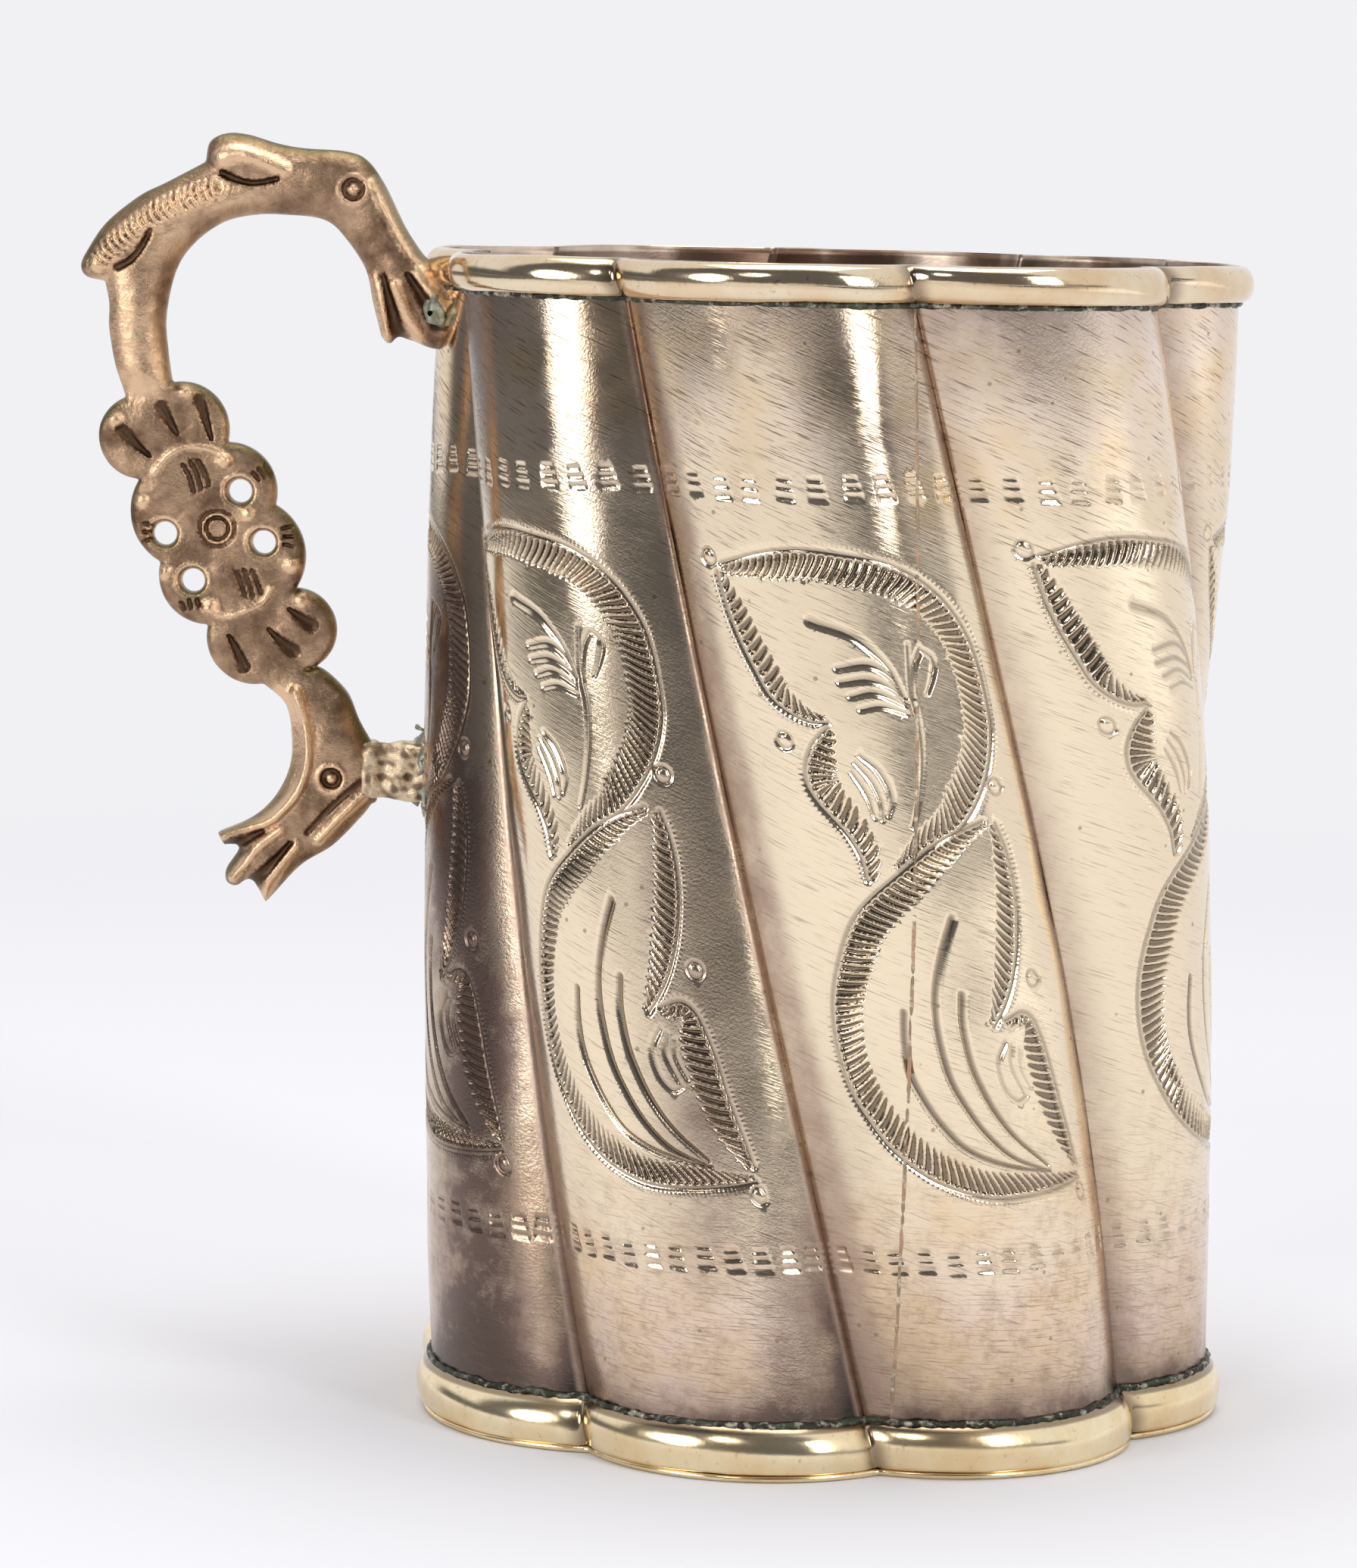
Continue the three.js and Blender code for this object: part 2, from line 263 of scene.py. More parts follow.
def ringBand(section, perLobe, change):
    # closed section of (offset, height) rows carried round all lobes; change(points, side) gives
    # an outward and an upward shift; returns a grid closed both ways, its quads and its sides
    side, lobe = aroundLobes(perLobe)
    offset, height = section[:, 0], section[:, 1]
    plain = lobedPoint(side[:, None], lobe[:, None], height[None], offset[None])
    outShift, upShift = change(plain, side[:, None])
    points = handMade(lobedPoint(side[:, None], lobe[:, None], height[None] + upShift, offset[None] + outShift))
    rows, columns = points.shape[:2]
    number = np.arange(rows * columns).reshape(rows, columns)
    ahead, over = np.roll(number, -1, axis=0), np.roll(number, -1, axis=1)
    quads = np.stack([number, ahead, np.roll(ahead, -1, axis=1), over], axis=-1).reshape(-1, 4)
    return points.reshape(-1, 3), quads, np.broadcast_to(np.abs(side)[:, None], (rows, columns)).ravel()


def cappedTube(rings):
    # rings of equal length joined row to row, with a middle point closing each end
    rows, columns = rings.shape[:2]
    number = np.arange(rows * columns).reshape(rows, columns)
    over = np.roll(number, -1, axis=1)
    quads = np.stack([number[:-1], over[:-1], over[1:], number[1:]], axis=-1).reshape(-1, 4)
    first, last = np.full(columns, rows * columns), np.full(columns, rows * columns + 1)
    caps = np.vstack([np.stack([first, over[0], number[0]], 1), np.stack([last, number[-1], over[-1]], 1)])
    points = np.vstack([rings.reshape(-1, 3), rings[0].mean(axis=0), rings[-1].mean(axis=0)])
    return points, quads, caps


def netSurface(field, low, step):
    # surface nets: a cell that the zero level crosses gets a vertex at the mean of the crossings on its
    # edges, and each crossed grid edge gets a quad between the four cells round it; inside is negative
    inside = field < 0
    cells = tuple(n - 1 for n in field.shape)
    place, count = np.zeros((*cells, 3), dtype=np.float32), np.zeros(cells, dtype=np.float32)
    for axis in range(3):
        one, two = (axis + 1) % 3, (axis + 2) % 3
        for i, j in ((0, 0), (1, 0), (0, 1), (1, 1)):
            cut = [None, None, None]
            cut[one], cut[two] = slice(i, i + cells[one]), slice(j, j + cells[two])
            cut[axis] = slice(0, cells[axis])
            near = field[tuple(cut)]
            cut[axis] = slice(1, cells[axis] + 1)
            far = field[tuple(cut)]
            crossed = (near < 0) != (far < 0)
            t = np.where(crossed, near / np.where(crossed, near - far, 1), 0)
            place[..., axis] += t
            place[..., one] += crossed * i
            place[..., two] += crossed * j
            count += crossed
    full = count > 0
    number = np.where(full, np.cumsum(full).reshape(cells) - 1, -1)
    points = low + step * (np.argwhere(full) + place[full] / count[full][:, None])
    quads = []
    for axis in range(3):
        one, two = (axis + 1) % 3, (axis + 2) % 3
        spot = [slice(1, -1)] * 3
        spot[axis] = slice(0, -1)
        ahead = list(spot)
        ahead[axis] = slice(1, None)
        start, end = inside[tuple(spot)], inside[tuple(ahead)]
        at = np.argwhere(start != end)
        outward = start[start != end]
        at[:, one] += 1
        at[:, two] += 1
        ring = []
        for i, j in ((1, 1), (0, 1), (0, 0), (1, 0)):
            cell = at.copy()
            cell[:, one] -= i
            cell[:, two] -= j
            ring.append(number[tuple(cell.T)])
        ring = np.stack(ring, axis=1)
        quads.append(np.where(outward[:, None], ring, ring[:, ::-1]))
    return points, np.vstack(quads)


# Worn silver plate over rolled brass sheet, scraped and burnished by hand: a warm mirror with short slanted
# hairlines painted dark as their shade, pinkish brown along the grooves as tarnish and painted reflection of the
# dark room, cuts darkened by tarnish and painted shade, mauve where it tarnished at both ends and black at the
# foot.
def platedSheet():
    # clouds 13 mm, patches 4 mm, grit 1.8 mm and pits 0.25 mm across
    finish, put, spot, (cloud, patch, grit, pits) = newFinish(
        "worn_silver_plate", ((0.075, 4, 0.6), (0.25, 6, 0.7), (0.55, 8, 0.8), (4, 3, 0.6)))
    flute = put("Attribute", {"attribute_name": "flute"}, [])["Vector"]
    level = put("SeparateXYZ", {}, [flute])["Y"]
    cutDepth, groove, tarnish, inside = (
        put("Attribute", {"attribute_name": key}, [])["Fac"] for key in ("cut", "groove", "tarnish", "inside"))
    # hairlines 3 mm by 0.14 mm that fall to the right, level brushing, and broader strokes; their dark colour is
    # painted shade of the scratches
    lines = []
    for lean, size, detail, rough in (
            (-0.42, (3, 0.14, 1), 2, 0.6), (-0.06, (3.2, 0.15, 1), 2, 0.6), (-0.45, (4.5, 0.28, 1), 3, 0.65)):
        turned = put("Mapping", {"vector_type": "TEXTURE"},
                     {"Vector": flute, "Rotation": (0, 0, lean), "Scale": size})[0]
        noise = put("TexNoise", {}, {"Vector": turned, "Scale": 1, "Detail": detail, "Roughness": rough})
        lines.append(noise["Fac"])
    hairline, brushing, stroke = lines
    fromMiddle = put("Math", {"operation": "SUBTRACT"}, [level, 52])[0]
    fromMiddle = put("Math", {"operation": "ABSOLUTE"}, [fromMiddle])[0]
    worn = put("Math", addTo, [cloud, 44, fromMiddle])[0]
    pinkPart = put("MapRange", ease, [worn, 46, 62, 0, 0.9])[0]
    high = put("MapRange", {}, [level, 30, 80])[0]
    pink = put("Mix", blend, {0: high, 6: "F4DACA", 7: "F4E2D0"})[2]
    gold = put("MapRange", {}, [cloud, 0.4, 0.62, 0, 0.8])[0]
    pink = put("Mix", blend, {0: gold, 6: pink, 7: "EBCFA2"})[2]
    nearFoot = put("MapRange", {}, [level, 38, 14])[0]
    mottle = put("MapRange", {}, [grit, 0.48, 0.7, 0, 0.6])[0]
    mottle = put("Math", times, [mottle, nearFoot])[0]
    veil = put("MapRange", {}, [patch, 0.3, 0.68, 0.5, 1])[0]
    stain = put("Math", {**times, "use_clamp": True}, [tarnish, veil])[0]
    deep = put("MapRange", {}, [tarnish, 0.9, 2])[0]
    film = put("Mix", blend, {0: deep, 6: "846E64", 7: "443E3A"})[2]
    # brown band along the grooves: tarnish, and painted reflection of the dark room in the groove's steep flank
    grooveTarnishAndReflection = put("MapRange", ease, [groove, 0.05, 0.5])[0]
    grooveTarnishAndReflection = put("Math", times, [grooveTarnishAndReflection, veil])[0]
    # hairlines painted dark as painted shade of the fine scratches, stronger towards the top, with brushing near
    # the foot
    shadedHairline = put("Math", addTo, [stroke, 0.6, hairline])[0]
    shadedHairline = put("MapRange", {}, [shadedHairline, 0.88, 1.02, 0, 0.85])[0]
    scraped = put("MapRange", {}, [level, 66, 90, 0.5, 1])[0]
    shadedHairline = put("Math", times, [shadedHairline, scraped])[0]
    brushed = put("MapRange", {}, [brushing, 0.54, 0.7, 0, 0.6])[0]
    brushed = put("Math", times, [brushed, nearFoot])[0]
    shadedHairline = put("Math", larger, [shadedHairline, brushed])[0]
    # darker in the chased cuts by their depth: tarnish in the hollows and painted shade
    dark = put("MapRange", {}, [cutDepth, 0.25, 0.95, 0, 0.8])[0]
    dots = put("TexVoronoi", {}, {"Vector": spot, "Scale": 0.32, "Randomness": 1})["Distance"]
    specks = put("MapRange", {}, [dots, 0.08, 0.05, 0, 0.6])[0]
    lining = put("MapRange", {}, [cloud, 0.42, 0.6])[0]
    lining = put("Mix", blend, {0: lining, 6: "7C6252", 7: "D6C4B2"})[2]
    rough = put("MapRange", {}, [patch, 0.3, 0.7, 0.06, 0.15])[0]
    for share, more in ((grooveTarnishAndReflection, 0.2), (stain, 0.16)):
        rough = put("Math", addTo, [share, more, rough])[0]
    rough = put("MapRange", {}, [inside, 0, 1, rough, 0.4])[0]
    pits = put("Math", times, [pits, stain])[0]
    marks = hairline
    for share, more in ((stroke, 0.5), (shadedHairline, 1.5), (pits, 9)):
        marks = put("Math", addTo, [share, more, marks])[0]
    layMetal(put, "F4E2C4", (
        (pinkPart, pink), (mottle, "A08468"), (stain, film), (grooveTarnishAndReflection, "B59C8A"), (shadedHairline, "78624F"),
        (dark, "5C4C3E"), (specks, "77744A"), (inside, lining)), 1.0, rough, marks, 0.07, 0.0001)
    return finish


# Half-round brass strip, drawn, bent and polished: a clear mirror with a yellow cast, grimy at the pinches; on the
# foot the same colour darkens the shoulder as painted reflection of the dark room.
def polishedStrip(name, clear, warmer, least, most):
    finish, put, _, (cloud, fine) = newFinish(name, ((0.16, 4, 0.6), (1.6, 4, 0.7)))
    pinch = put("Attribute", {"attribute_name": "pinch"}, [])["Fac"]
    warm = put("MapRange", {}, [cloud, 0.4, 0.66, 0, 0.7])[0]
    # grime at the pinches, and on the foot's shoulder painted reflection of the dark room
    grime = put("MapRange", ease, [pinch, 0.88, 1, 0, 0.75])[0]
    spots = put("MapRange", {}, [fine, 0.6, 0.72, 0, 0.5])[0]
    rough = put("MapRange", {}, [cloud, 0.3, 0.7, least, most])[0]
    layers = (warm, warmer), (grime, "75604F"), (spots, "8A7250")
    layMetal(put, clear, layers, 1.0, rough, fine, 0.1, 0.0001)
    return finish


# Sand-cast bronze, handled for years: brown skin with a dull shine, rubbed coppery on the high edges and lighter
# in painted highlights along the neck's outer edge and the nape, dark and a little green in the hollows, and olive
# as painted reflection on edges that face up.
def castBronze(name, skin, wornAndHighlight, hollow, pitSize):
    finish, put, _, (cloud, fine) = newFinish(name, ((0.3, 5, 0.65), (1 / pitSize, 5, 0.7)))
    raised, film = (put("Attribute", {"attribute_name": key}, [])["Fac"] for key in ("raised", "film"))
    # lighter where worn on the high relief, and where highlights are painted along the neck and nape
    bright = put("Math", addTo, [cloud, 0.9, raised])[0]
    bright = put("MapRange", {}, [bright, 0.3, 0.8])[0]
    sunk = put("MapRange", {}, [raised, -0.05, -0.75, 0, 0.7])[0]
    # green spots, and olive on edges that face up as painted reflection of the dark room
    green = put("MapRange", {}, [fine, 0.68, 0.76, 0, 0.35])[0]
    green = put("Math", larger, [green, film])[0]
    rough = put("MapRange", {}, [bright, 0, 1, 0.32, 0.18])[0]
    layers = (bright, wornAndHighlight), (sunk, hollow), (green, "5C5732")
    layMetal(put, skin, layers, 1.0, rough, fine, 0.35, 0.0003)
    return finish


# Soft solder, run by hand and never cleaned: dull grey crumbs, black and green between them.
def tarnishedSolder(name, pale, dark, green):
    finish, put, _, (crumb, stain) = newFinish(name, ((1.1, 5, 0.7), (0.28, 4, 0.6)))
    shade = put("MapRange", {}, [crumb, 0.5, 0.66])[0]
    copper = put("MapRange", {}, [stain, 0.48, 0.6, 0, 0.7])[0]
    layMetal(put, dark, ((shade, pale), (copper, green)), 0.75, 0.5, crumb, 0.6, 0.0003)
    return finish


plateFinish = platedSheet()
rimFinish = polishedStrip("polished_gilt_brass", "EAD8BA", "DDBB90", 0.07, 0.17)
footFinish = polishedStrip("rubbed_gilt_brass", "F8E6C0", "E8C894", 0.12, 0.24)
bronzeFinish = castBronze("sand_cast_bronze", "6A503E", "E2BE9A", "463828", 0.5)
lugFinish = castBronze("rough_cast_bronze", "806A56", "D8C2A2", "4A4034", 0.35)
beadFinish = tarnishedSolder("tarnished_solder_bead", "C6C2B2", "37342E", "4A5444")
jointFinish = tarnishedSolder("crusted_solder_joint", "E2E2D8", "8C8A7C", "B2BCA8")
seamFinish = tarnishedSolder("bright_solder_seam", "E6DCC4", "A08C74", "C09A7C")
print("finishes made")

# Chased ornament of one flute, as (across, height): across is measured along the wall from the crest.
chasing = {
    "linerWidth": 0.36,
    "linerDepth": 0.2,
    "linerInset": 0.7,  # share of the liner's width from which the strokes start
    "strokeDepth": 0.42,
    "strokeBreadth": 0.52,  # half of a stroke, as a share of the pitch
    "strokeFade": 0.35,  # how much shallower a stroke is at its inner end
    "bristlePitch": 0.42,  # short ticks outside the liner
    "bristleDepth": 0.05,
    "bands": [  # liner, side of the strokes, their pitch, how far their inner ends lie behind, band widths
        ([(-8.9, 78.6), (-4.5, 79.7), (-1, 80.1), (3, 79.7), (6.1, 79.1), (8.6, 78), (10.6, 76.4), (11.9, 74.7),
          (12.8, 72.8), (13.2, 71), (13.4, 69), (13.4, 66.7), (13.1, 64.3), (12.2, 61.9), (10.9, 59.8),
          (8.9, 57.5), (7, 56), (3.9, 54.6), (0.8, 52.6)], -1, 0.8, 1.5,
         [0.9, 2.2, 2.6, 2.8, 2.9, 3, 3, 3.1, 3.2, 3, 1.8, 0.6]),
        ([(-9.6, 77.8), (-9.3, 74.6), (-8.7, 72), (-7.9, 69.7), (-7, 67.5), (-5.5, 66.1), (-3.8, 65.4),
          (-2.2, 65.4)], 1, 0.92, 0.9, [0.9, 2, 2.3, 2.4, 2.3, 1.6, 0.6]),
        ([(-2.4, 65), (-4.1, 63.5), (-5.2, 61.7), (-5.4, 59.9), (-4.8, 58.4), (-3.8, 57), (-2.9, 55.7),
          (-2.2, 53.8), (-2.1, 51.7)], 1, 0.88, 0.9, [1, 2.6, 3, 3, 2.6, 2, 0.8]),
        ([(9.8, 56.7), (6.8, 55.8), (3.9, 54.4), (0.2, 52), (-2.8, 49.8), (-4.7, 47.8), (-6.4, 44.9), (-7.8, 41.7),
          (-8.5, 38.5), (-8.6, 35.6), (-8.2, 33), (-7.3, 30.8), (-6, 28.5), (-3.9, 26.4), (-1.4, 24.9), (2, 23.9),
          (6.1, 23.8), (10.2, 24.1), (13, 24.5)], 1, 0.84, 1.3,
         [0.6, 1.8, 2.5, 2.8, 2.9, 2.8, 2.7, 2.8, 2.9, 2.8, 2.4, 1.8, 0.6]),
        ([(11.2, 56.4), (11.7, 54.3), (11.8, 51.6), (11.4, 48.5), (10.4, 45.1), (9, 42.2), (7.5, 40.1),
          (6.2, 38.7)], -1, 0.88, 1.0, [0.9, 1.9, 2.3, 2.5, 2.3, 1.8, 0.7]),
        ([(7.4, 39.2), (9.5, 39.8), (10.8, 39), (11.5, 36.9), (11.9, 34.3), (12.2, 31.3), (12.7, 28.3),
          (13.1, 25.8)], -1, 0.88, 1.0, [0.6, 1.8, 2.6, 3, 3.1, 2.8, 2.2, 0.8]),
    ],
    "cuts": [  # path, half width at start, middle and end, depth
        ([(4.5, 48.4), (2.8, 45.3), (1.4, 41.9), (0.8, 38.4), (0.9, 34.6), (1.8, 31.8), (3.2, 29.3), (5.3, 27.2),
          (8.7, 25.7)], 0.5, 0.46, 0.22, 0.26),
        ([(3.8, 41.7), (3.2, 39.1), (3.1, 36), (3.5, 33.8), (4.4, 31.3), (6, 28.8), (8.8, 26.2)],
         0.5, 0.46, 0.22, 0.26),
        ([(-1.8, 40.2), (-2.4, 37.5), (-2.5, 34.9), (-1.9, 32.6), (-0.8, 30.3), (0.7, 28.4), (3, 27.1), (6, 26.2),
          (9, 25.7)], 0.5, 0.46, 0.22, 0.26),
        ([(6.9, 37.4), (5.7, 35.7), (5.8, 33.5), (6.8, 32.2), (7.9, 32.5)], 0.4, 0.42, 0.25, 0.16),
        ([(7.5, 37.1), (7, 35.2), (7.8, 32.7)], 0.3, 0.36, 0.2, 0.15),
        ([(8.3, 36.6), (8, 35), (8.6, 33.2)], 0.25, 0.3, 0.2, 0.13),
        ([(6.4, 72.2), (5.7, 68.3), (5.8, 65.5), (5.3, 62.3), (4.2, 59), (3, 56.4)], 0.3, 0.32, 0.2, 0.16),
        ([(-1.6, 74.1), (1.4, 73.1), (3, 71.8), (4.3, 70), (5.1, 67.6)], 0.6, 0.55, 0.25, 0.18),
        ([(-0.3, 70.1), (2.4, 70.5), (4.1, 69.5), (5, 67.6)], 0.35, 0.5, 0.25, 0.18),
        ([(-0.3, 68.9), (2.2, 69.2), (4.2, 68.3), (5, 67.2)], 0.35, 0.5, 0.22, 0.18),
        ([(0.3, 67.7), (2.5, 68.1), (4.9, 66.9)], 0.35, 0.45, 0.2, 0.17),
        ([(0.9, 66.6), (2.8, 66.9), (4.9, 66.2)], 0.3, 0.4, 0.2, 0.16),
        ([(7.4, 71.7), (6.5, 70.4), (6, 68.8), (5.9, 67.5)], 0.4, 0.4, 0.2, 0.16),
        ([(7.5, 71.8), (8.5, 70.9), (8, 69.3), (7.2, 67.9)], 0.3, 0.4, 0.2, 0.16),
        ([(-0.1, 62.6), (1.2, 61.3), (1.8, 59.2), (1.1, 57.4)], 0.35, 0.5, 0.22, 0.17),
        ([(-0.7, 62), (0.4, 60.3), (0.8, 58.4), (0.5, 57)], 0.3, 0.42, 0.2, 0.16),
        ([(-1.2, 61.2), (-0.3, 59.2), (-0.1, 57.2)], 0.3, 0.42, 0.2, 0.16),
    ],
    "ringlets": [(-10.1, 79.1), (-6.6, 63.7), (12.2, 59.6), (11.7, 42.6), (13, 23.3)],
    "ringletRadius": 0.72,
    "ringletWidth": 0.26,
    "ringletDepth": 0.17,
    "ringletDome": 0.06,
    "domeRadius": 0.45,
    "ringletReach": 1.1,  # clear of strokes
    "stampRows": [(85.2, 10, 2.85), (19.0, 12, 2.4)],  # height, stamps, spacing
    "stampBars": [(0.8, 0.35, 0.62), (0.11, 0.37, 0.76), (-0.7, 0.47, 0.86)],  # place, half height and half width
    "stampDepth": 0.2,
    "edge": 13.85,  # the ornament stops short of the grooves
    "edgeFade": 0.4,
}


def chasedRelief(across, height):
    # height of the sheet's face over the plain lobe: liners are rounded channels, strokes are leaf-shaped
    # gouges that start at the liner and taper inward, cuts are tapered channels, and stamps are three bars
    points = np.stack([across.ravel(), height.ravel()], axis=1)
    relief = np.zeros(len(points))
    for liner, side, pitch, sweep, widths in chasing["bands"]:
        near, away, along, length = nearPath(smoothPath(liner, 0.25), points, 4.0)
        away = away * side
        width = np.interp(along / length, np.linspace(0, 1, len(widths)), widths)
        start = chasing["linerWidth"]
        depth = -chasing["linerDepth"] * hump(away, start)
        inset = chasing["linerInset"] * start
        inward = np.clip((away - inset) / np.maximum(width - inset, 0.2), 0, 1)
        phase = np.mod((along + sweep * inward ** 1.5) / pitch, 1) ** 0.8  # steeper on one side
        within = (along > 0) & (along < length) & (away > inset) & (inward < 1)
        breadth = chasing["strokeBreadth"] * np.sqrt(np.clip(1 - inward ** 3, 0.0001, 1))
        gouge = hump(phase - 0.5, breadth) * easeStep(0, 0.08, inward)
        depth -= chasing["strokeDepth"] * (1 - chasing["strokeFade"] * inward) * gouge * within
        tick = np.mod(along / chasing["bristlePitch"], 1)
        bristle = hump(tick - 0.5, 0.3) * easeStep(-0.85, -0.4, away) * (away < -0.8 * start)
        depth -= chasing["bristleDepth"] * bristle * (along > 0) * (along < length)
        relief[near] = np.minimum(relief[near], depth)
    for path, first, middle, last, deep in chasing["cuts"]:
        near, away, along, length = nearPath(smoothPath(path, 0.2), points, 1.0)
        width = np.interp(along / length, [0, 0.5, 1], [first, middle, last])
        relief[near] = np.minimum(relief[near], -deep * hump(away, width))
    for x, z in chasing["ringlets"]:
        out = np.hypot(points[:, 0] - x, points[:, 1] - z)
        ring = hump(out - chasing["ringletRadius"], chasing["ringletWidth"])
        ringed = np.minimum(relief, 0.0) - chasing["ringletDepth"] * ring
        relief = np.where(out < chasing["ringletReach"], ringed, relief)
        relief += chasing["ringletDome"] * hump(out, chasing["domeRadius"])
    random = np.random.default_rng(7)
    for level, count, gap in chasing["stampRows"]:
        for x in (np.arange(count) - (count - 1) / 2) * gap:
            x0, z0, lean = random.normal(0, 1, 3) * (0.12, 0.1, 0.06)
            u = points[:, 0] - x - x0 + lean * (points[:, 1] - level)
            v = points[:, 1] - level - z0 - lean * u
            for place, half, wide in chasing["stampBars"]:
                bar = np.clip(1 - (u / wide) ** 6, 0, 1) * hump(v - place, half)
                bar *= 0.75 + 0.25 * np.clip(u / wide, -1, 1)
                relief -= chasing["stampDepth"] * bar * random.uniform(0.6, 1)
    relief *= easeStep(chasing["edge"], chasing["edge"] - chasing["edgeFade"], np.abs(points[:, 0]))
    return relief.reshape(across.shape)


wall = {
    "columns": 48,
    "rows": 172,
    "split": 5,  # a cell with ornament is split this many ways
    "thickness": 0.9,
    "waves": [(0.05, 13.0, 11)],  # hand-worked unevenness of the sheet
    "plain": 0.004,  # relief below this needs no finer faces
    "grooveLeft": 4.6,  # brown band along the grooves, tarnish and painted reflection of the dark room in the steep flank, wider on the left of each flute
    "grooveRight": 1.1,
    "fitHeights": [20.4, 22.4, 40, 72, 81, 83.6],
    "ornamentFits": [  # flutes, and their ornament's squeeze high and low and its lift high and low
        ((3,), (0.08, 0.11, 0.3, 0.9)), ((4,), (0.09, 0.125, 0.4, 1.2)), ((5,), (0.04, 0.075, 0.0, 0.6)),
        ((6, 7), (0.03, 0.05, 1.0, 1.2)), ((0, 1, 2), (0.05, 0.08, 0.2, 0.6))],
    # places that tarnished: degrees from the front, spread, height, spread, amount
    "tarnish": [(-54, 13, 8, 18, 1.5), (-58, 9, 34, 12, 1.3), (-66, 9, 52, 12, 1.3), (-75, 9, 70, 12, 1.2),
                (-80, 12, 40, 26, 0.7), (-62, 12, 100, 18, 0.9), (-36, 7, 90, 14, 0.5), (-27, 8, 70, 14, 0.6),
                (-18, 8, 52, 14, 0.6), (-15, 7, 30, 13, 0.8), (-20, 40, 0, 10, 0.55), (1, 6, 14, 15, 0.8),
                (12, 7, 10, 9, 0.25), (30, 30, 0, 10, 0.7), (75, 25, 2, 16, 0.55), (10, 70, 104, 6, 0.7),
                (22, 12, 100, 8, 0.45)],
    "mostTarnish": 1.6,
    "footStain": (0.7, 4.5, 2.4),  # grime just over the foot: amount, height, spread
    "backStain": (0.5, 110, 140, 14),  # amount, degrees from the front where it starts and is full, spread
    "grooveStain": (1.3, 2.8, 19),  # low in the grooves: amount, reach, spread upward
    "fullCut": 0.28,  # depth at which a cut is darkest, in tarnish and painted shade
    "grooveTarnishAndReflectionTone": [0.8, 0.8, 0.8, 0.9, 0.9, 1.0, 0.38, 0.5],  # how brown the band of tarnish and painted reflection along each flute's groove is
}


def tarnishAt(points):
    # stained places, grime over the foot, and a back that is stained at both ends
    height = points[:, 2]
    amount, start, full, spread = wall["backStain"]
    fromEnd = np.minimum(height, cup["height"] - height)
    total = amount * easeStep(start, full, np.abs(frontAngle(points))) * np.exp(-(fromEnd / spread) ** 2)
    amount, level, spread = wall["footStain"]
    total += amount * np.exp(-((height - level) / spread) ** 2)
    return np.clip(withBells(total, points, wall["tarnish"]), 0, wall["mostTarnish"])


halfArc = cup["lobeRadius"] * lobeReach(0)


def sheetFaces(cut, rows, columns, split):
    # cells that hold ornament become split x split quads, plain cells stay one quad, and a plain cell
    # beside a split one is fanned from its middle, so that no edge is left open
    used = np.zeros(cut.shape, dtype=bool)
    used[::split, ::split] = True
    fine = np.zeros((rows, columns), dtype=bool)
    for i in (0, 1):
        for j in (0, 1):
            part = cut[i:i + rows * split, j:j + columns * split]
            fine |= part.reshape(rows, split, columns, split).any(axis=(1, 3))
    fine[[0, -1], :] = False
    fine[:, [0, -1]] = False
    r, c = np.nonzero(fine)
    for i in range(split + 1):
        for j in range(split + 1):
            used[r * split + i, c * split + j] = True
    number = np.where(used, np.cumsum(used).reshape(used.shape) - 1, -1)
    quads = []
    for i in range(split):
        for j in range(split):
            y, x = r * split + i, c * split + j
            quads.append(np.stack([number[y, x], number[y, x + 1], number[y + 1, x + 1], number[y + 1, x]], 1))
    wide = np.pad(fine, 1)
    beside = {(-1, 0): wide[:-2, 1:-1], (0, 1): wide[1:-1, 2:], (1, 0): wide[2:, 1:-1], (0, -1): wide[1:-1, :-2]}
    touched = np.any(list(beside.values()), axis=0) & ~fine
    y, x = [part * split for part in np.nonzero(~fine & ~touched)]
    far = number[y + split, x + split]
    quads.append(np.stack([number[y, x], number[y, x + split], far, number[y + split, x]], 1))
    fanRow, fanColumn = np.nonzero(touched)
    middle = used.sum() + np.arange(len(fanRow))
    fans = []
    for (dy, dx), mask in beside.items():
        startY = split if (dy, dx) in ((1, 0), (0, -1)) else 0
        startX = split if (dy, dx) in ((0, 1), (1, 0)) else 0
        stepY, stepX = dx, -dy
        fineSide = mask[fanRow, fanColumn]
        for k in range(split):
            pick = np.nonzero(fineSide)[0]
            y, x = fanRow[pick] * split + startY + stepY * k, fanColumn[pick] * split + startX + stepX * k
            fans.append(np.stack([middle[pick], number[y, x], number[y + stepY, x + stepX]], 1))
        pick = np.nonzero(~fineSide)[0]
        y, x = fanRow[pick] * split + startY, fanColumn[pick] * split + startX
        fans.append(np.stack([middle[pick], number[y, x], number[y + stepY * split, x + stepX * split]], 1))
    return used, number, np.vstack(quads), np.vstack(fans), (fanRow, fanColumn)


rows, columns, split = wall["rows"], wall["columns"], wall["split"]
sideLattice = np.linspace(-1, 1, columns * split + 1)
heightLattice = np.linspace(cup["plate"], cup["height"], rows * split + 1)
sideGrid, heightGrid = np.meshgrid(sideLattice, heightLattice)
backSide, backHeight = sideGrid[::split, ::split].ravel(), heightGrid[::split, ::split].ravel()


def borderLoop(grid):
    return np.concatenate([grid[0, :-1], grid[:-1, -1], grid[-1, :0:-1], grid[:0:-1, 0]])


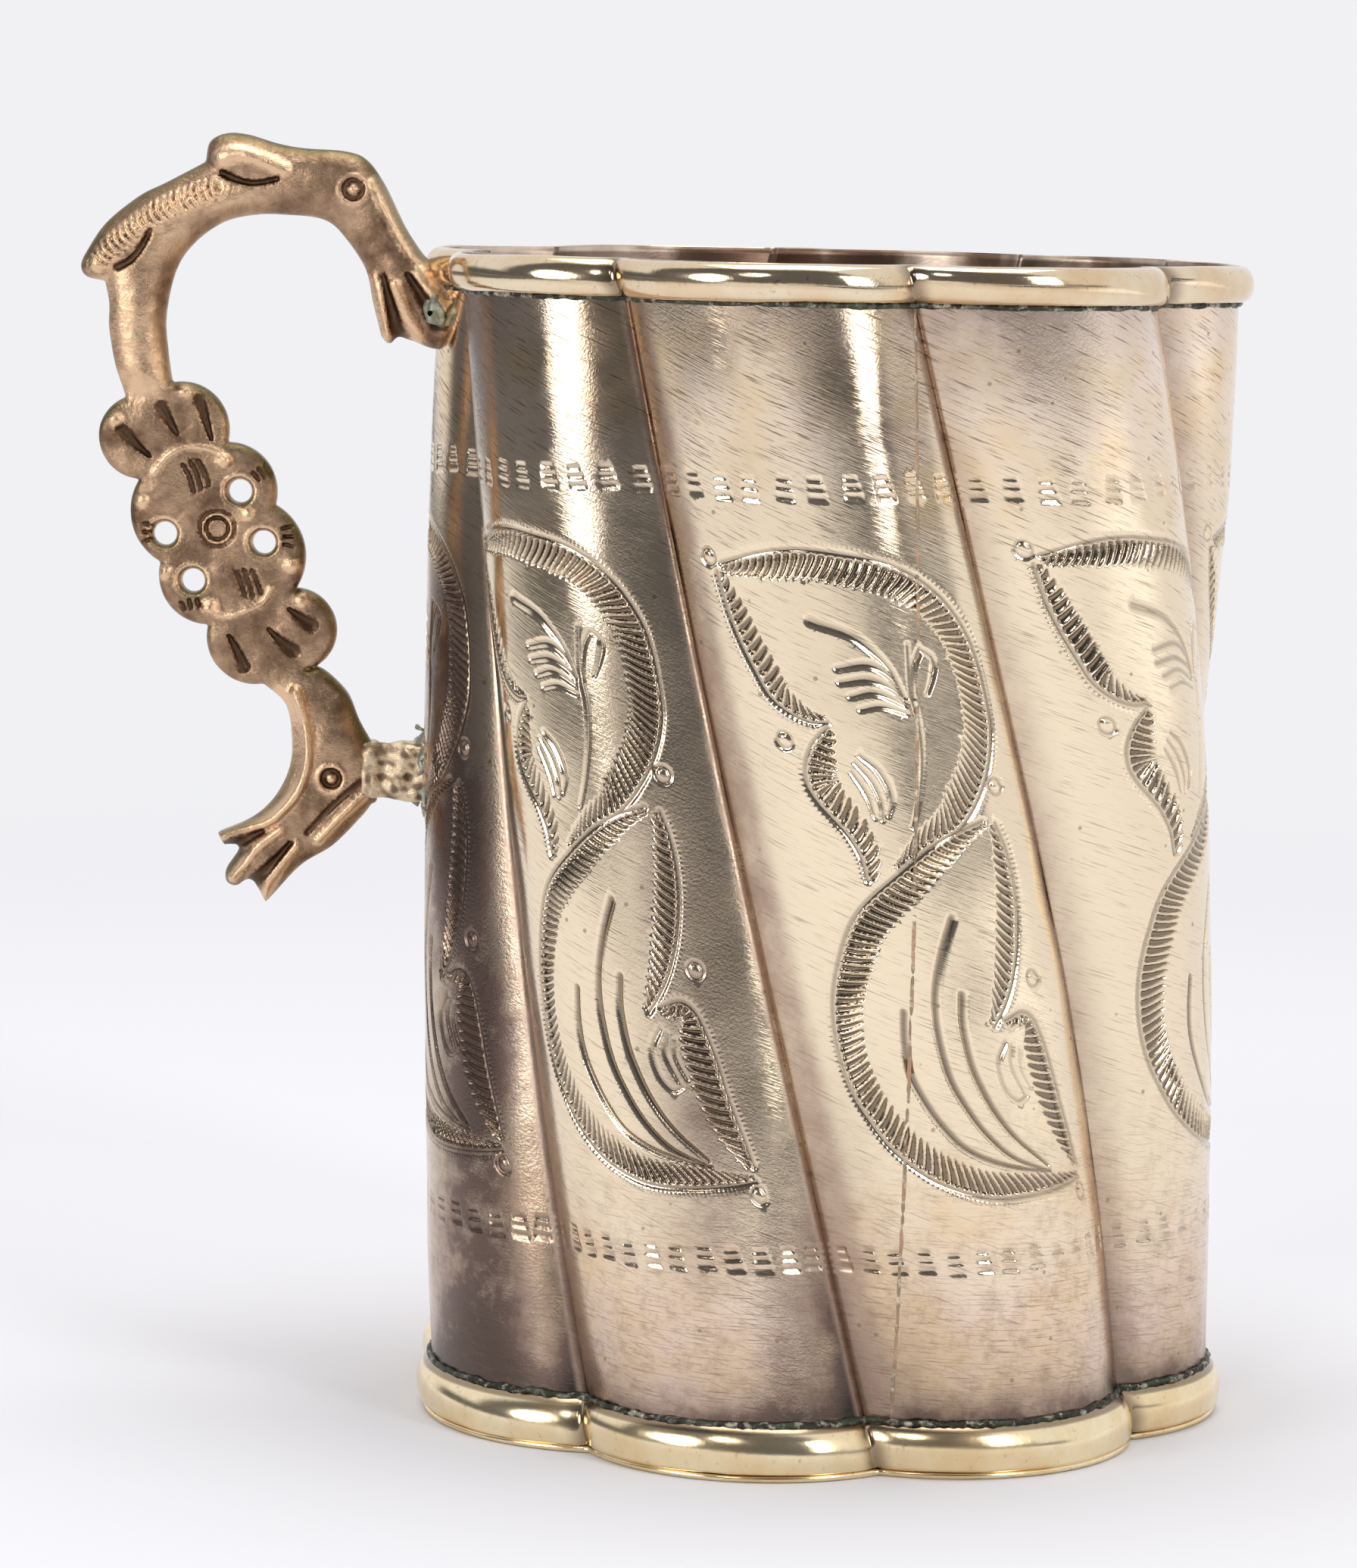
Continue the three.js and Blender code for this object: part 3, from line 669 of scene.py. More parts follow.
def fluteSheet(squeezeHigh, squeezeLow, liftHigh, liftLow):
    # chased front and plain back of a flute; the ornament is squeezed to the left and lifted, high and low
    knots = wall["fitHeights"]
    squeeze = np.interp(heightGrid, knots, [0, squeezeLow, squeezeLow, squeezeHigh, squeezeHigh, 0])
    lift = np.interp(heightGrid, knots, [0, liftLow, liftLow, liftHigh, liftHigh, 0])
    relief = chasedRelief((sideGrid + 1) * halfArc / (1 - squeeze) - halfArc, heightGrid - lift)
    cut = np.abs(relief) > wall["plain"]
    used, number, frontQuads, fans, (fanRow, fanColumn) = sheetFaces(cut, rows, columns, split)
    half = split // 2
    frontSide = np.concatenate([sideGrid[used], sideLattice[fanColumn * split + half]])
    frontHeight = np.concatenate([heightGrid[used], heightLattice[fanRow * split + half]])
    frontRelief = np.concatenate([relief[used], np.zeros(len(fanRow))])
    backNumber = len(frontSide) + np.arange((rows + 1) * (columns + 1)).reshape(rows + 1, columns + 1)
    backQuads = np.stack([backNumber[:-1, :-1], backNumber[1:, :-1], backNumber[1:, 1:], backNumber[:-1, 1:]], -1)
    frontLoop, backLoop = borderLoop(number[::split, ::split]), borderLoop(backNumber)
    edgeQuads = np.stack([frontLoop, backLoop, np.roll(backLoop, -1), np.roll(frontLoop, -1)], 1)
    quads = np.vstack([frontQuads, backQuads.reshape(-1, 4), edgeQuads])
    return frontSide, frontHeight, frontRelief, quads, fans, len(quads) - len(edgeQuads)


def makeFlute(lobe, frontSide, frontHeight, frontRelief, quads, fans, smoothFaces):
    front = lobedPoint(frontSide, lobe, frontHeight, 0.0)
    back = lobedPoint(backSide, lobe, backHeight, -wall["thickness"])
    face = frontSide * lobeReach(0) + crestAngle(lobe, frontHeight)
    lift = frontRelief + waves(front, wall["waves"])
    front = front + lift[:, None] * np.stack([np.cos(face), np.sin(face), np.zeros_like(face)], axis=1)
    across = np.concatenate([frontSide, backSide]) * halfArc
    allHeight = np.concatenate([frontHeight, backHeight])
    # the brown band by the grooves, tarnish and painted reflection, reaches further on a flute's left
    fromLeft, fromRight = (halfArc + across) / wall["grooveLeft"], (halfArc - across) / wall["grooveRight"]
    amount, reach, spread = wall["grooveStain"]
    grime = amount * (1 - np.clip((halfArc - np.abs(across)) / reach, 0, 1)) * np.exp(-(allHeight / spread) ** 2)
    marks = {
        "cut": np.concatenate([np.clip(-frontRelief / wall["fullCut"], 0, 1), np.zeros(len(backSide))]),
        "groove": wall["grooveTarnishAndReflectionTone"][lobe] * (1 - np.clip(np.minimum(fromLeft, fromRight), 0, 1)),
        "tarnish": tarnishAt(np.vstack([front, back])) + grime,
        "inside": np.concatenate([np.zeros(len(frontSide)), np.ones(len(backSide))]),
        "flute": np.stack([across + 2 * halfArc * lobe, allHeight, np.zeros_like(across)], axis=1),
    }
    makePiece(f"wall_flute_{lobe + 1}", handMade(np.vstack([front, back])), quads, plateFinish,
              ["body_wall"], marks, fans, smoothFaces)


for lobes, fit in wall["ornamentFits"]:
    sheet = fluteSheet(*fit)
    for lobe in lobes:
        makeFlute(lobe, *sheet)
    print("flutes", [lobe + 1 for lobe in lobes], "have", 2 * len(sheet[3]) + len(sheet[4]), "triangles each")

seam = {
    "angle": -78.0,
    "radius": 35.0,
    "halfWidth": 0.16,
    "proud": 0.035,
    "sunk": 0.3,
    "step": 0.16,
    "waves": [(0.03, 1.3, 3)],
}


def seamRings():
    # a low rounded strip whose face follows the chased wall up one straight line, sunk edges and back
    front = np.linspace(-1, 1, 9)
    across = np.concatenate([front, np.linspace(1, -1, 5)[1:-1]]) * seam["halfWidth"]
    out = np.concatenate([seam["proud"] * (1.6 * np.sqrt(1 - front ** 2) - 0.6), np.full(3, -seam["sunk"])])
    height = np.arange(cup["plate"] + 0.1, cup["height"] - 0.2, seam["step"])[:, None]
    angle = np.radians(seam["angle"]) + across[None] / seam["radius"]
    radius, bend = wallRadius(angle, height)
    relief = chasedRelief(bend * cup["lobeRadius"], np.broadcast_to(height, bend.shape))
    plain = roundAxis(radius, angle, height)
    uneven = waves(plain, seam["waves"]) * (out > -0.1)
    radius = radius + relief + out + uneven + waves(plain, wall["waves"])
    return handMade(roundAxis(radius, angle, height))


seamPoints, seamQuads, seamCaps = cappedTube(seamRings())
makePiece("seam_strip", seamPoints, seamQuads, seamFinish, ["seam_solder"], triangles=seamCaps)

rim = {"bottom": 100.7, "top": 104.0, "bulge": 1.35, "pinch": 0.16, "perLobe": 72}
foot = {
    "pinch": 0.16,
    "perLobe": 72,
    "section": [  # full below the middle, rounded off to the wall above
        (-0.1, 0.6), (0.8, 0.6), (1.05, 0.7), (1.22, 0.95), (1.34, 1.4), (1.4, 2.0), (1.39, 2.6), (1.3, 3.1),
        (1.14, 3.55), (0.92, 3.95), (0.66, 4.3), (0.34, 4.6), (0.0, 4.78), (-0.1, 4.8)],
}


strip = {"pinchReach": 0.9, "wavesOut": [(0.05, 7.0, 21)], "wavesUp": [(0.07, 11.0, 22)]}


def pinched(settings, points, side):
    # the strip narrows where it is hammered into a groove, and is uneven by a few hundredths
    away = (1 - np.abs(side)) * halfArc
    inward = -settings["pinch"] * np.exp(-(away / strip["pinchReach"]) ** 2)
    return inward + waves(points, strip["wavesOut"]), waves(points, strip["wavesUp"])


turn = np.linspace(-np.pi / 2, np.pi / 2, 21)
middle, tall = (rim["bottom"] + rim["top"]) / 2, (rim["top"] - rim["bottom"]) / 2
rimSection = np.stack([rim["bulge"] * np.cos(turn) ** 0.8, middle + tall * np.sin(turn)], axis=1)
rimSection = np.vstack([[[-0.1, rim["bottom"]]], rimSection, [[-0.1, rim["top"]]]])
rimPoints, rimQuads, rimSide = ringBand(rimSection, rim["perLobe"], partial(pinched, rim))
makePiece("rim_strip", rimPoints, rimQuads, rimFinish, ["rim_moulding"],
          {"pinch": rimSide})

footSection = smoothPath(foot["section"], 0.16)
footPoints, footQuads, footSide = ringBand(footSection, foot["perLobe"], partial(pinched, foot))
footGrimeAndShoulderReflection = np.maximum(footSide, easeStep(3.0, 4.3, footPoints[:, 2]))  # the shoulder is darkened too, as painted reflection of the dark room
makePiece("foot_strip", footPoints, footQuads, footFinish, ["foot_moulding"],
          {"pinch": footGrimeAndShoulderReflection})

rimBead = {"height": 100.6, "radius": 0.24, "out": 0.1, "perLobe": 130}
footBead = {"height": 4.75, "radius": 0.3, "out": 0.16, "perLobe": 130}


crumbs = {"out": 0.4, "up": 0.3, "wavesOut": [(0.55, 1.5, 31), (0.45, 0.7, 32)], "wavesUp": [(1, 1.6, 33)]}


def crumbled(settings, points, side):
    # crumbs of solder push the bead out and up by shares of its radius
    out, up = settings["radius"] * crumbs["out"], settings["radius"] * crumbs["up"]
    return out * waves(points, crumbs["wavesOut"]), up * waves(points, crumbs["wavesUp"])


for name, settings, node in (
        ("rim_bead", rimBead, "rim_solder_bead"), ("foot_bead", footBead, "foot_solder_bead")):
    ringTurn = np.linspace(0, 2 * np.pi, 12, endpoint=False)
    beadSection = np.stack([settings["out"] + settings["radius"] * np.cos(ringTurn),
                            settings["height"] + settings["radius"] * np.sin(ringTurn)], axis=1)
    beadPoints, beadQuads, _ = ringBand(beadSection, settings["perLobe"], partial(crumbled, settings))
    makePiece(name, beadPoints, beadQuads, beadFinish, [node])

base = {
    "offset": 1.0,
    "thickness": 0.6,
    "edge": 0.15,
    "perLobe": 48,
    "shrink": [0.03, 0.3, 0.6, 0.9, 0.985, 0.996, 1],  # rings from the middle to the edge
}


def baseRings():
    # the lobed outline shrunk ring by ring to the middle, below and then above, with a rounded edge
    side, lobe = aroundLobes(base["perLobe"])
    outline = handMade(lobedPoint(side, lobe, np.zeros_like(side), base["offset"]))
    thick, edge = base["thickness"], base["edge"]
    shrink = np.array(base["shrink"] + base["shrink"][::-1])
    level = np.array([0] * 5 + [0.25 * edge, edge, thick - edge, thick - 0.25 * edge] + [thick] * 5)
    rings = outline[None] * np.array([1, 1, 0]) * shrink[:, None, None]
    rings[..., 2] = level[:, None]
    return rings


basePoints, baseQuads, baseCaps = cappedTube(baseRings())
makePiece("base_plate", basePoints, baseQuads, footFinish, ["bottom_plate"],
          {"pinch": np.zeros(len(basePoints))}, baseCaps)
print("cup made")

# Handle casting, in the plane of the handle as (x, height).
handle = {
    "step": 0.182,  # size of the grid that the casting is worked out on
    "x": (-69.6, -32.0),  # ends of the grid
    "z": (42.8, 115.2),
    "gridHalf": 3.4,
    "brow": [(-32.5, 102.4), (-35.9, 102.4), (-38.4, 105.2), (-40.7, 109.6), (-42.4, 111.8), (-44.4, 112.5),
             (-48.1, 112.7), (-50.5, 113.1), (-53, 113.8), (-55, 113.9), (-56.5, 113.1), (-56.9, 111.3)],
    "mane": [(-56.9, 111.3), (-60.4, 109.4), (-62.9, 108.1), (-65.8, 105.7), (-67.5, 103.2), (-68.1, 101.8),
             (-67.6, 100.8), (-65.9, 100.4)],
    "neckOutside": [(-65.9, 100.4), (-65.5, 98.4), (-65.5, 96.1), (-64.9, 92.9), (-63.9, 90)],
    "nape": [(-51.1, 64.2), (-49.1, 62.4), (-48.5, 59.5), (-48.6, 56.9), (-49.5, 54.6), (-50.9, 52.8),
             (-52.6, 51.6), (-55.1, 50.5)],
    "jaw": [(-54.6, 49.3), (-53.2, 49.1), (-54.3, 47.2), (-54.3, 46), (-53.4, 45.6), (-52.3, 46.2), (-51.4, 45.4),
            (-50.7, 44.2)],
    "chin": [(-50.5, 44.3), (-47.5, 47.6), (-44.6, 49.5), (-42, 52.2), (-41.1, 53.4)],
    "seat": [(-41.1, 53.4), (-40.6, 54), (-40.6, 58.4), (-41.1, 58.9)],
    "napeInside": [(-41.1, 58.9), (-42.3, 61), (-43.5, 63.6), (-45.8, 65.7), (-47.1, 65.6)],
    "neckInside": [(-60.1, 94.2), (-60.3, 97.5), (-59.4, 101.6), (-57.7, 104.1), (-55.2, 105.9), (-52.5, 106.6),
                   (-49.8, 106.7), (-46.1, 106.3), (-44.1, 104.6), (-42.3, 101.9), (-41.6, 99), (-40.8, 95.9)],
    "bill": [(-40.8, 95.9), (-40.1, 95.3), (-39.2, 95.8), (-38, 95.6), (-35.9, 94.9), (-32.5, 94.9)],
    "plaqueMiddle": (-55.4, 77.8),
    "plaqueLobes": [((-66.2, 87.4), (-62.6, 82.6)), ((-63.3, 78.8), (-60.6, 75.1)), ((-59.7, 71.1), (-56.2, 69.5)),
                    ((-54.5, 64.9), (-51.1, 64.2))],  # bulge and the notch after it; the other side is a half turn
    "holes": [(-60.2, 77.7), (-57.6, 73.5), (-53.4, 81.7), (-51.2, 77.1)],
    "holeRadius": 1.05,
    "beastHalf": 1.75,  # half thickness of neck and heads
    "plaqueHalf": 1.25,
    "beastRound": 1.5,  # edge rounding
    "plaqueRound": 0.75,
    "beastDome": 0.8,  # the front falls off by this much towards the outline
    "plaqueDome": 0.2,
    "domeWidth": 2.7,
    "plaqueBorders": [(63.5, 66.5, 0.25, 55), (92, 89.5, 0.15, 60)],  # height from and to, slope, place
    "waves": [(0.12, 5.0, 41), (0.03, 1.8, 42)],
    "fullRelief": 0.6,  # relief that is rubbed brightest
    "film": (0.75, (1.1, 0.1), (0.1, -0.6)),  # olive painted reflection of the dark room on edges that face up: amount, depth and slope from and to
    "ridges": [  # path, half width at start and end, height; negative heights are valleys
        ([(-55.3, 111.6), (-53.6, 112.1), (-51.5, 111.6), (-49.6, 110.8)], 1.1, 0.8, 0.45),
        ([(-55.2, 110.3), (-53.7, 109.7), (-52.2, 109.5), (-50.3, 109.9)], 0.42, 0.3, -0.42),
        ([(-61.7, 105.0), (-62.4, 103.6), (-63.4, 102.4), (-64.6, 101.7)], 0.35, 0.42, -0.42),
        ([(-41.4, 109.6), (-40, 107.1), (-38.6, 104.4), (-36.6, 102.2)], 1.0, 0.9, 0.35),
        ([(-41.6, 101.2), (-40.9, 98.6), (-40.2, 96)], 0.8, 0.7, 0.35),
        ([(-39.5, 100.6), (-38.6, 98.4), (-37.4, 95.9)], 0.8, 0.8, 0.4),
        ([(-37.2, 101.6), (-36.2, 100), (-35, 98.4)], 0.9, 0.9, 0.3),
        ([(-40.6, 101.4), (-39.9, 98.9), (-39.2, 95.4)], 0.35, 0.85, -0.42),
        ([(-38.4, 101.6), (-37.2, 99.9), (-35.6, 97.4)], 0.35, 1.0, -0.42),
        ([(-64.1, 87.0), (-62.9, 85.8), (-61.6, 84.7)], 0.8, 0.25, -0.42),
        ([(-60.6, 89.2), (-59.9, 88), (-59.2, 86.8)], 0.75, 0.25, -0.42),
        ([(-57.1, 89.9), (-56.6, 88.2), (-56, 86.3)], 0.7, 0.22, -0.42),
        ([(-46.7, 69.7), (-47.6, 70.3), (-48.8, 71.1)], 0.8, 0.25, -0.42),
        ([(-48.4, 67.3), (-49.3, 68), (-50.6, 69.2)], 0.8, 0.25, -0.42),
        ([(-52.8, 65.8), (-53.3, 66.9), (-54.2, 68.6)], 0.7, 0.22, -0.42),
        ([(-61.2, 83.2), (-59.7, 85), (-57.8, 85.7), (-55.4, 85.3), (-54.4, 84.4)], 0.4, 0.4, 0.22),
        ([(-56.4, 71), (-54.6, 70.4), (-52.9, 70.8), (-51.2, 71.7), (-50.4, 73)], 0.4, 0.4, 0.22),
        ([(-48, 63.6), (-47.3, 61.2), (-46.9, 59), (-47, 56.8), (-47.7, 54.7), (-49.1, 52.9), (-50.6, 51.7),
          (-53.4, 50.9), (-54.8, 50.2)], 0.75, 0.6, 0.6),
        ([(-49.2, 51), (-51.4, 49.2), (-53.6, 46.5)], 0.6, 0.6, 0.4),
        ([(-47.8, 49.6), (-49.4, 47.2), (-50.7, 44.8)], 0.6, 0.6, 0.3),
        ([(-50.9, 50.8), (-52.4, 50), (-54.2, 49.2)], 0.3, 0.75, -0.42),
        ([(-48.3, 49.8), (-49.9, 48), (-52.2, 45.6)], 0.3, 0.8, -0.42),
        ([(-41.3, 54.6), (-43.7, 52.3), (-45.8, 50)], 0.6, 0.5, 0.4),
        ([(-42, 55.6), (-44.6, 53.2), (-46.8, 50.8)], 0.4, 0.35, -0.3),
    ],
    "veins": [
        [(-58.6, 84), (-58, 83), (-57.6, 81.6)], [(-57.9, 84.3), (-57.3, 83.2), (-56.9, 81.9)],
        [(-57.2, 84.4), (-56.6, 83.3), (-56.2, 82.2)], [(-53.6, 74.4), (-53.2, 73.4), (-52.8, 72.2)],
        [(-52.9, 74.6), (-52.5, 73.5), (-52.1, 72.3)], [(-52.2, 74.6), (-51.8, 73.6), (-51.4, 72.6)],
    ],
    "veinCut": (0.3, 0.3, -0.32),  # as in the ridges
    "ticks": [
        [(-52.2, 83.4), (-51.7, 82.8)], [(-51.7, 83.8), (-51.1, 83)], [(-51.2, 84.1), (-50.6, 83.2)],
        [(-49.5, 78.4), (-48.7, 78.6)], [(-49.3, 77.7), (-48.5, 77.7)], [(-49.4, 77), (-48.6, 76.8)],
        [(-62, 78.6), (-61.4, 78.4)], [(-62.1, 77.8), (-61.5, 77.8)], [(-62, 77), (-61.4, 77.2)],
        [(-58.6, 71.5), (-58.3, 70.9)], [(-57.9, 71.8), (-57.7, 71)], [(-57.2, 71.9), (-57, 71.2)],
    ],
    "tickCut": (0.24, 0.24, -0.35),
    "rings": [  # centre, radius, half width, height
        ((-43.4, 109.1), 0.85, 0.28, -0.22), ((-43.4, 109.1), 0.0, 0.5, 0.25), ((-43.4, 109.1), 1.25, 0.3, 0.15),
        ((-44.7, 55.8), 0.75, 0.3, -0.3), ((-44.7, 55.8), 0.0, 0.45, 0.2), ((-44.7, 55.8), 1.2, 0.3, 0.2),
        ((-55.4, 78.3), 1.3, 0.22, 0.2), ((-55.4, 78.3), 1.0, 0.2, -0.28), ((-55.4, 78.3), 1.6, 0.22, -0.22),
    ],
    "pearls": [(-54.8, 84.4), (-52.6, 79.7), (-64.6, 87.9), (-62.2, 80.6), (-60.1, 74.2), (-58.4, 90.7),
               (-47.6, 72), (-55.9, 71.3), (-48.5, 75)],
    "pearl": (0.35, 0.85),  # height, radius
    "holeRim": (0.2, 0.35, 0.4),  # height, middle and half width of the raised rim
    "wornAndHighlight": [  # painted highlights along edges that face the pale floor and lamps: path, reach and how bright it is painted
        ([(-64.6, 99.6), (-63.6, 95.5), (-62.6, 91.6)], 2.4, 0.4),
        ([(-49, 63.2), (-47.9, 58), (-50, 53.4)], 1.3, 0.8),
        ([(-61.6, 103.6), (-57.6, 107.4), (-52, 108.4)], 1.6, 0.2)],
    "maneLine": [(-55.8, 109), (-57.8, 108.2), (-59.8, 107.3), (-61.9, 106.1), (-63.6, 104.8), (-65.2, 103.4),
                 (-66.3, 101.9)],
    "maneHalf": 1.25,
    "maneRib": 0.66,
    "maneSlant": 0.5,
    "maneHeight": (0.5, 0.15),  # of a rib over the gap, and how deep the gap lies
}


def arcRun(start, bulge, end):
    # circle through three points, sampled from the first past the second to the third
    a, b, c = (np.array(p, dtype=float) for p in (start, bulge, end))
    ab, ac = b - a, c - a
    cross = 2 * (ab[0] * ac[1] - ab[1] * ac[0])
    toB, toC = ab.dot(ab), ac.dot(ac)
    centre = a + np.array([ac[1] * toB - ab[1] * toC, ab[0] * toC - ac[0] * toB]) / cross
    spread = [np.arctan2(*(p - centre)[::-1]) for p in (a, b, c)]
    turn = np.sign(cross)
    turnAll = turn * np.mod(turn * (spread[2] - spread[0]), 2 * np.pi)
    angle = spread[0] + np.linspace(0, turnAll, 24)
    return centre + np.hypot(*(a - centre)) * np.stack([np.cos(angle), np.sin(angle)], axis=1)


def handleOutline():
    # smooth runs and arcs end to end, anticlockwise as seen from the front
    half = [handle["neckOutside"][-1], *[p for lobe in handle["plaqueLobes"] for p in lobe]]
    twin = [tuple(2 * np.array(handle["plaqueMiddle"]) - np.array(p)) for p in half]
    runs = [smoothPath(handle[key], 0.2) for key in ("brow", "mane", "neckOutside")]
    runs += [arcRun(*half[i:i + 3]) for i in (0, 2, 4, 6)]
    runs += [smoothPath(handle["nape"], 0.2), smoothPath(handle["jaw"], 0.15), smoothPath(handle["chin"], 0.2),
             smoothPath(handle["seat"], 0.2), smoothPath([*handle["napeInside"], twin[0]], 0.2)]
    runs += [arcRun(*twin[i:i + 3]) for i in (0, 2, 4, 6)]
    runs += [smoothPath([twin[-1], *handle["neckInside"]], 0.2), smoothPath(handle["bill"], 0.2)]
    outline = np.vstack(runs)
    return outline[np.linalg.norm(outline - np.roll(outline, 1, axis=0), axis=1) > 0.02]


def outlineDepth(outline, points):
    # distance to the closed outline, positive inside by counting the crossings of a ray along x
    start, end = outline, np.roll(outline, -1, axis=0)
    step = end - start
    depth = np.zeros(len(points))
    for chunk in np.array_split(np.arange(len(points)), len(points) // 6000 + 1):
        offset = points[chunk, None, :] - start[None]
        t = np.clip((offset * step).sum(axis=2) / (step ** 2).sum(axis=1), 0, 1)
        least = ((offset - t[:, :, None] * step) ** 2).sum(axis=2).min(axis=1)
        low, high = start[:, 1] > points[chunk, 1, None], end[:, 1] > points[chunk, 1, None]
        slope = np.where(step[:, 1] == 0, 1, step[:, 1])
        reach = start[:, 0] + step[:, 0] * (points[chunk, 1, None] - start[:, 1]) / slope
        crossings = ((low != high) & (points[chunk, 0, None] < reach)).sum(axis=1)
        depth[chunk] = np.sqrt(least) * np.where(crossings % 2 == 1, 1, -1)
    return depth


def castingRelief(points):
    # what ridges, valleys, rings, pearls and mane ribs add to the half thickness
    relief = np.zeros(len(points))
    veins = [(path, *handle["veinCut"]) for path in handle["veins"]]
    ticks = [(path, *handle["tickCut"]) for path in handle["ticks"]]
    for path, first, last, tall in handle["ridges"] + veins + ticks:
        near, away, along, length = nearPath(smoothPath(path, 0.15), points, 1.6)
        width = np.interp(along / length, [0, 1], [first, last])
        relief[near] += tall * hump(away, width) ** 1.3
    for centre, radius, width, tall in handle["rings"]:
        out = np.linalg.norm(points - centre, axis=1)
        relief += tall * hump(out - radius, width)
    tall, radius = handle["pearl"]
    for pearl in handle["pearls"]:
        relief += tall * hump(np.linalg.norm(points - pearl, axis=1), radius)
    tall, middle, width = handle["holeRim"]
    for hole in handle["holes"]:
        out = np.linalg.norm(points - hole, axis=1) - handle["holeRadius"]
        relief += tall * hump(out - middle, width)
    near, away, along, _ = nearPath(smoothPath(handle["maneLine"], 0.15), points, 2.0)
    band = np.clip(1 - (away / handle["maneHalf"]) ** 4, 0, 1)
    slanted = along + handle["maneSlant"] * (away / handle["maneHalf"]) ** 2
    rib = np.abs(np.sin(np.pi * slanted / handle["maneRib"])) ** 0.7
    tall, sunk = handle["maneHeight"]
    relief[near] += band * (tall * rib - sunk)
    return relief


sunkEnd = 0.35  # castings and solder end this deep in the wall's sheet


def handleMesh():
    # rounded plate: its half thickness at each place of the outline, edges rounded off, holes taken out
    step = handle["step"]
    outline = handleOutline()
    x, z = (np.arange(*handle[key], step) for key in "xz")
    y = np.arange(-handle["gridHalf"], handle["gridHalf"] + step, step)
    planX, planZ = np.meshgrid(x, z, indexing="ij")
    plan = np.stack([planX.ravel(), planZ.ravel()], axis=1)
    depth = outlineDepth(outline, plan)
    for hole in handle["holes"]:
        depth = np.minimum(depth, np.linalg.norm(plan - hole, axis=1) - handle["holeRadius"])
    relief = castingRelief(plan)
    plaque = np.ones(len(plan))
    for start, full, slope, place in handle["plaqueBorders"]:
        plaque = plaque * easeStep(start, full, plan[:, 1] + slope * (plan[:, 0] + place))
    half, edge, dome = (handle["beast" + key] + (handle["plaque" + key] - handle["beast" + key]) * plaque
                        for key in ("Half", "Round", "Dome"))
    half = half + 0.25 * dome - dome * (1 - np.clip(depth / handle["domeWidth"], 0, 1)) ** 2
    edge = np.minimum(edge, half - 0.15)
    skin = np.stack([plan[:, 0], plan[:, 1], np.zeros(len(plan))], axis=1)
    half = half + relief + waves(skin, handle["waves"])
    shape = planX.shape
    depth, half, edge, relief = (part.reshape(shape)[:, None, :] for part in (depth, half, edge, relief))
    sideways = edge - depth
    upward = np.abs(y)[None, :, None] - (half - edge)
    rounded = np.hypot(np.maximum(sideways, 0), np.maximum(upward, 0))
    field = rounded + np.minimum(np.maximum(sideways, upward), 0) - edge
    radius = np.hypot(x[:, None, None], y[None, :, None])
    face, _ = wallRadius(np.arctan2(y[None, :, None], x[:, None, None]), z[None, None, :])
    field = np.maximum(field, (face - sunkEnd) - radius)
    points, quads = netSurface(field.astype(np.float32), np.array([x[0], y[0], z[0]]), step)
    column = np.clip(((points[:, 0] - x[0]) / step).round().astype(int), 0, len(x) - 1)
    row = np.clip(((points[:, 2] - z[0]) / step).round().astype(int), 0, len(z) - 1)
    high = relief[column, 0, row] / handle["fullRelief"]
    # painted highlights along the neck's outer edge, the nape and the brow
    for path, reach, amount in handle["wornAndHighlight"]:
        near, away, _, _ = nearPath(smoothPath(path, 0.3), points[:, [0, 2]], 2 * reach)
        high[near] += amount * np.exp(-(away / reach) ** 2)
    # edges that face up get olive painted reflection of the dark room
    slope = np.gradient(depth[:, 0, :], step, axis=1)[column, row]
    amount, byDepth, bySlope = handle["film"]
    film = amount * easeStep(*byDepth, depth[column, 0, row]) * easeStep(*bySlope, slope)
    return points, quads, np.clip(high, -1, 1), film


handlePoints, handleQuads, handleRaisedAndLit, handleEdgeReflection = handleMesh()
makePiece("handle_beasts", handlePoints, handleQuads, bronzeFinish, ["handle_casting"],
          {"raised": handleRaisedAndLit, "film": handleEdgeReflection})

lug = {
    "x": (-42.3, -35.4),
    "z": (53.9, 59.2),
    "halfWidth": 2.2,
    "round": 1.0,
    "step": 0.15,
    "gridHalf": 3.4,
    "waist": (0.3, 39.8, 1.2),  # depth, distance from the axis, spread
    "waves": [(0.16, 2.6, 51), (0.06, 1.0, 52)],
}
billJoint = {
    "centre": (-35.7, 0.0, 98.6),
    "size": (1.35, 2.3, 2.5),
    "step": 0.16,
    "margin": 0.8,
    "waves": [(0.3, 2.2, 61), (0.14, 0.9, 62)],
}
lugJoint = {
    **billJoint,
    "centre": (-36.3, 0.0, 56.6),
    "size": (1.0, 2.9, 3.4),
    "waves": [(0.3, 2.2, 71), (0.14, 0.9, 72)],
}


def gridOf(low, high, step):
    axes = [np.arange(a, b + step, step) for a, b in zip(low, high)]
    return np.stack(np.meshgrid(*axes, indexing="ij"), axis=-1), np.array(low)


def outsideWall(points):
    face, _ = wallRadius(np.arctan2(points[..., 1], points[..., 0]), points[..., 2])
    return (face - sunkEnd) - np.hypot(points[..., 0], points[..., 1])


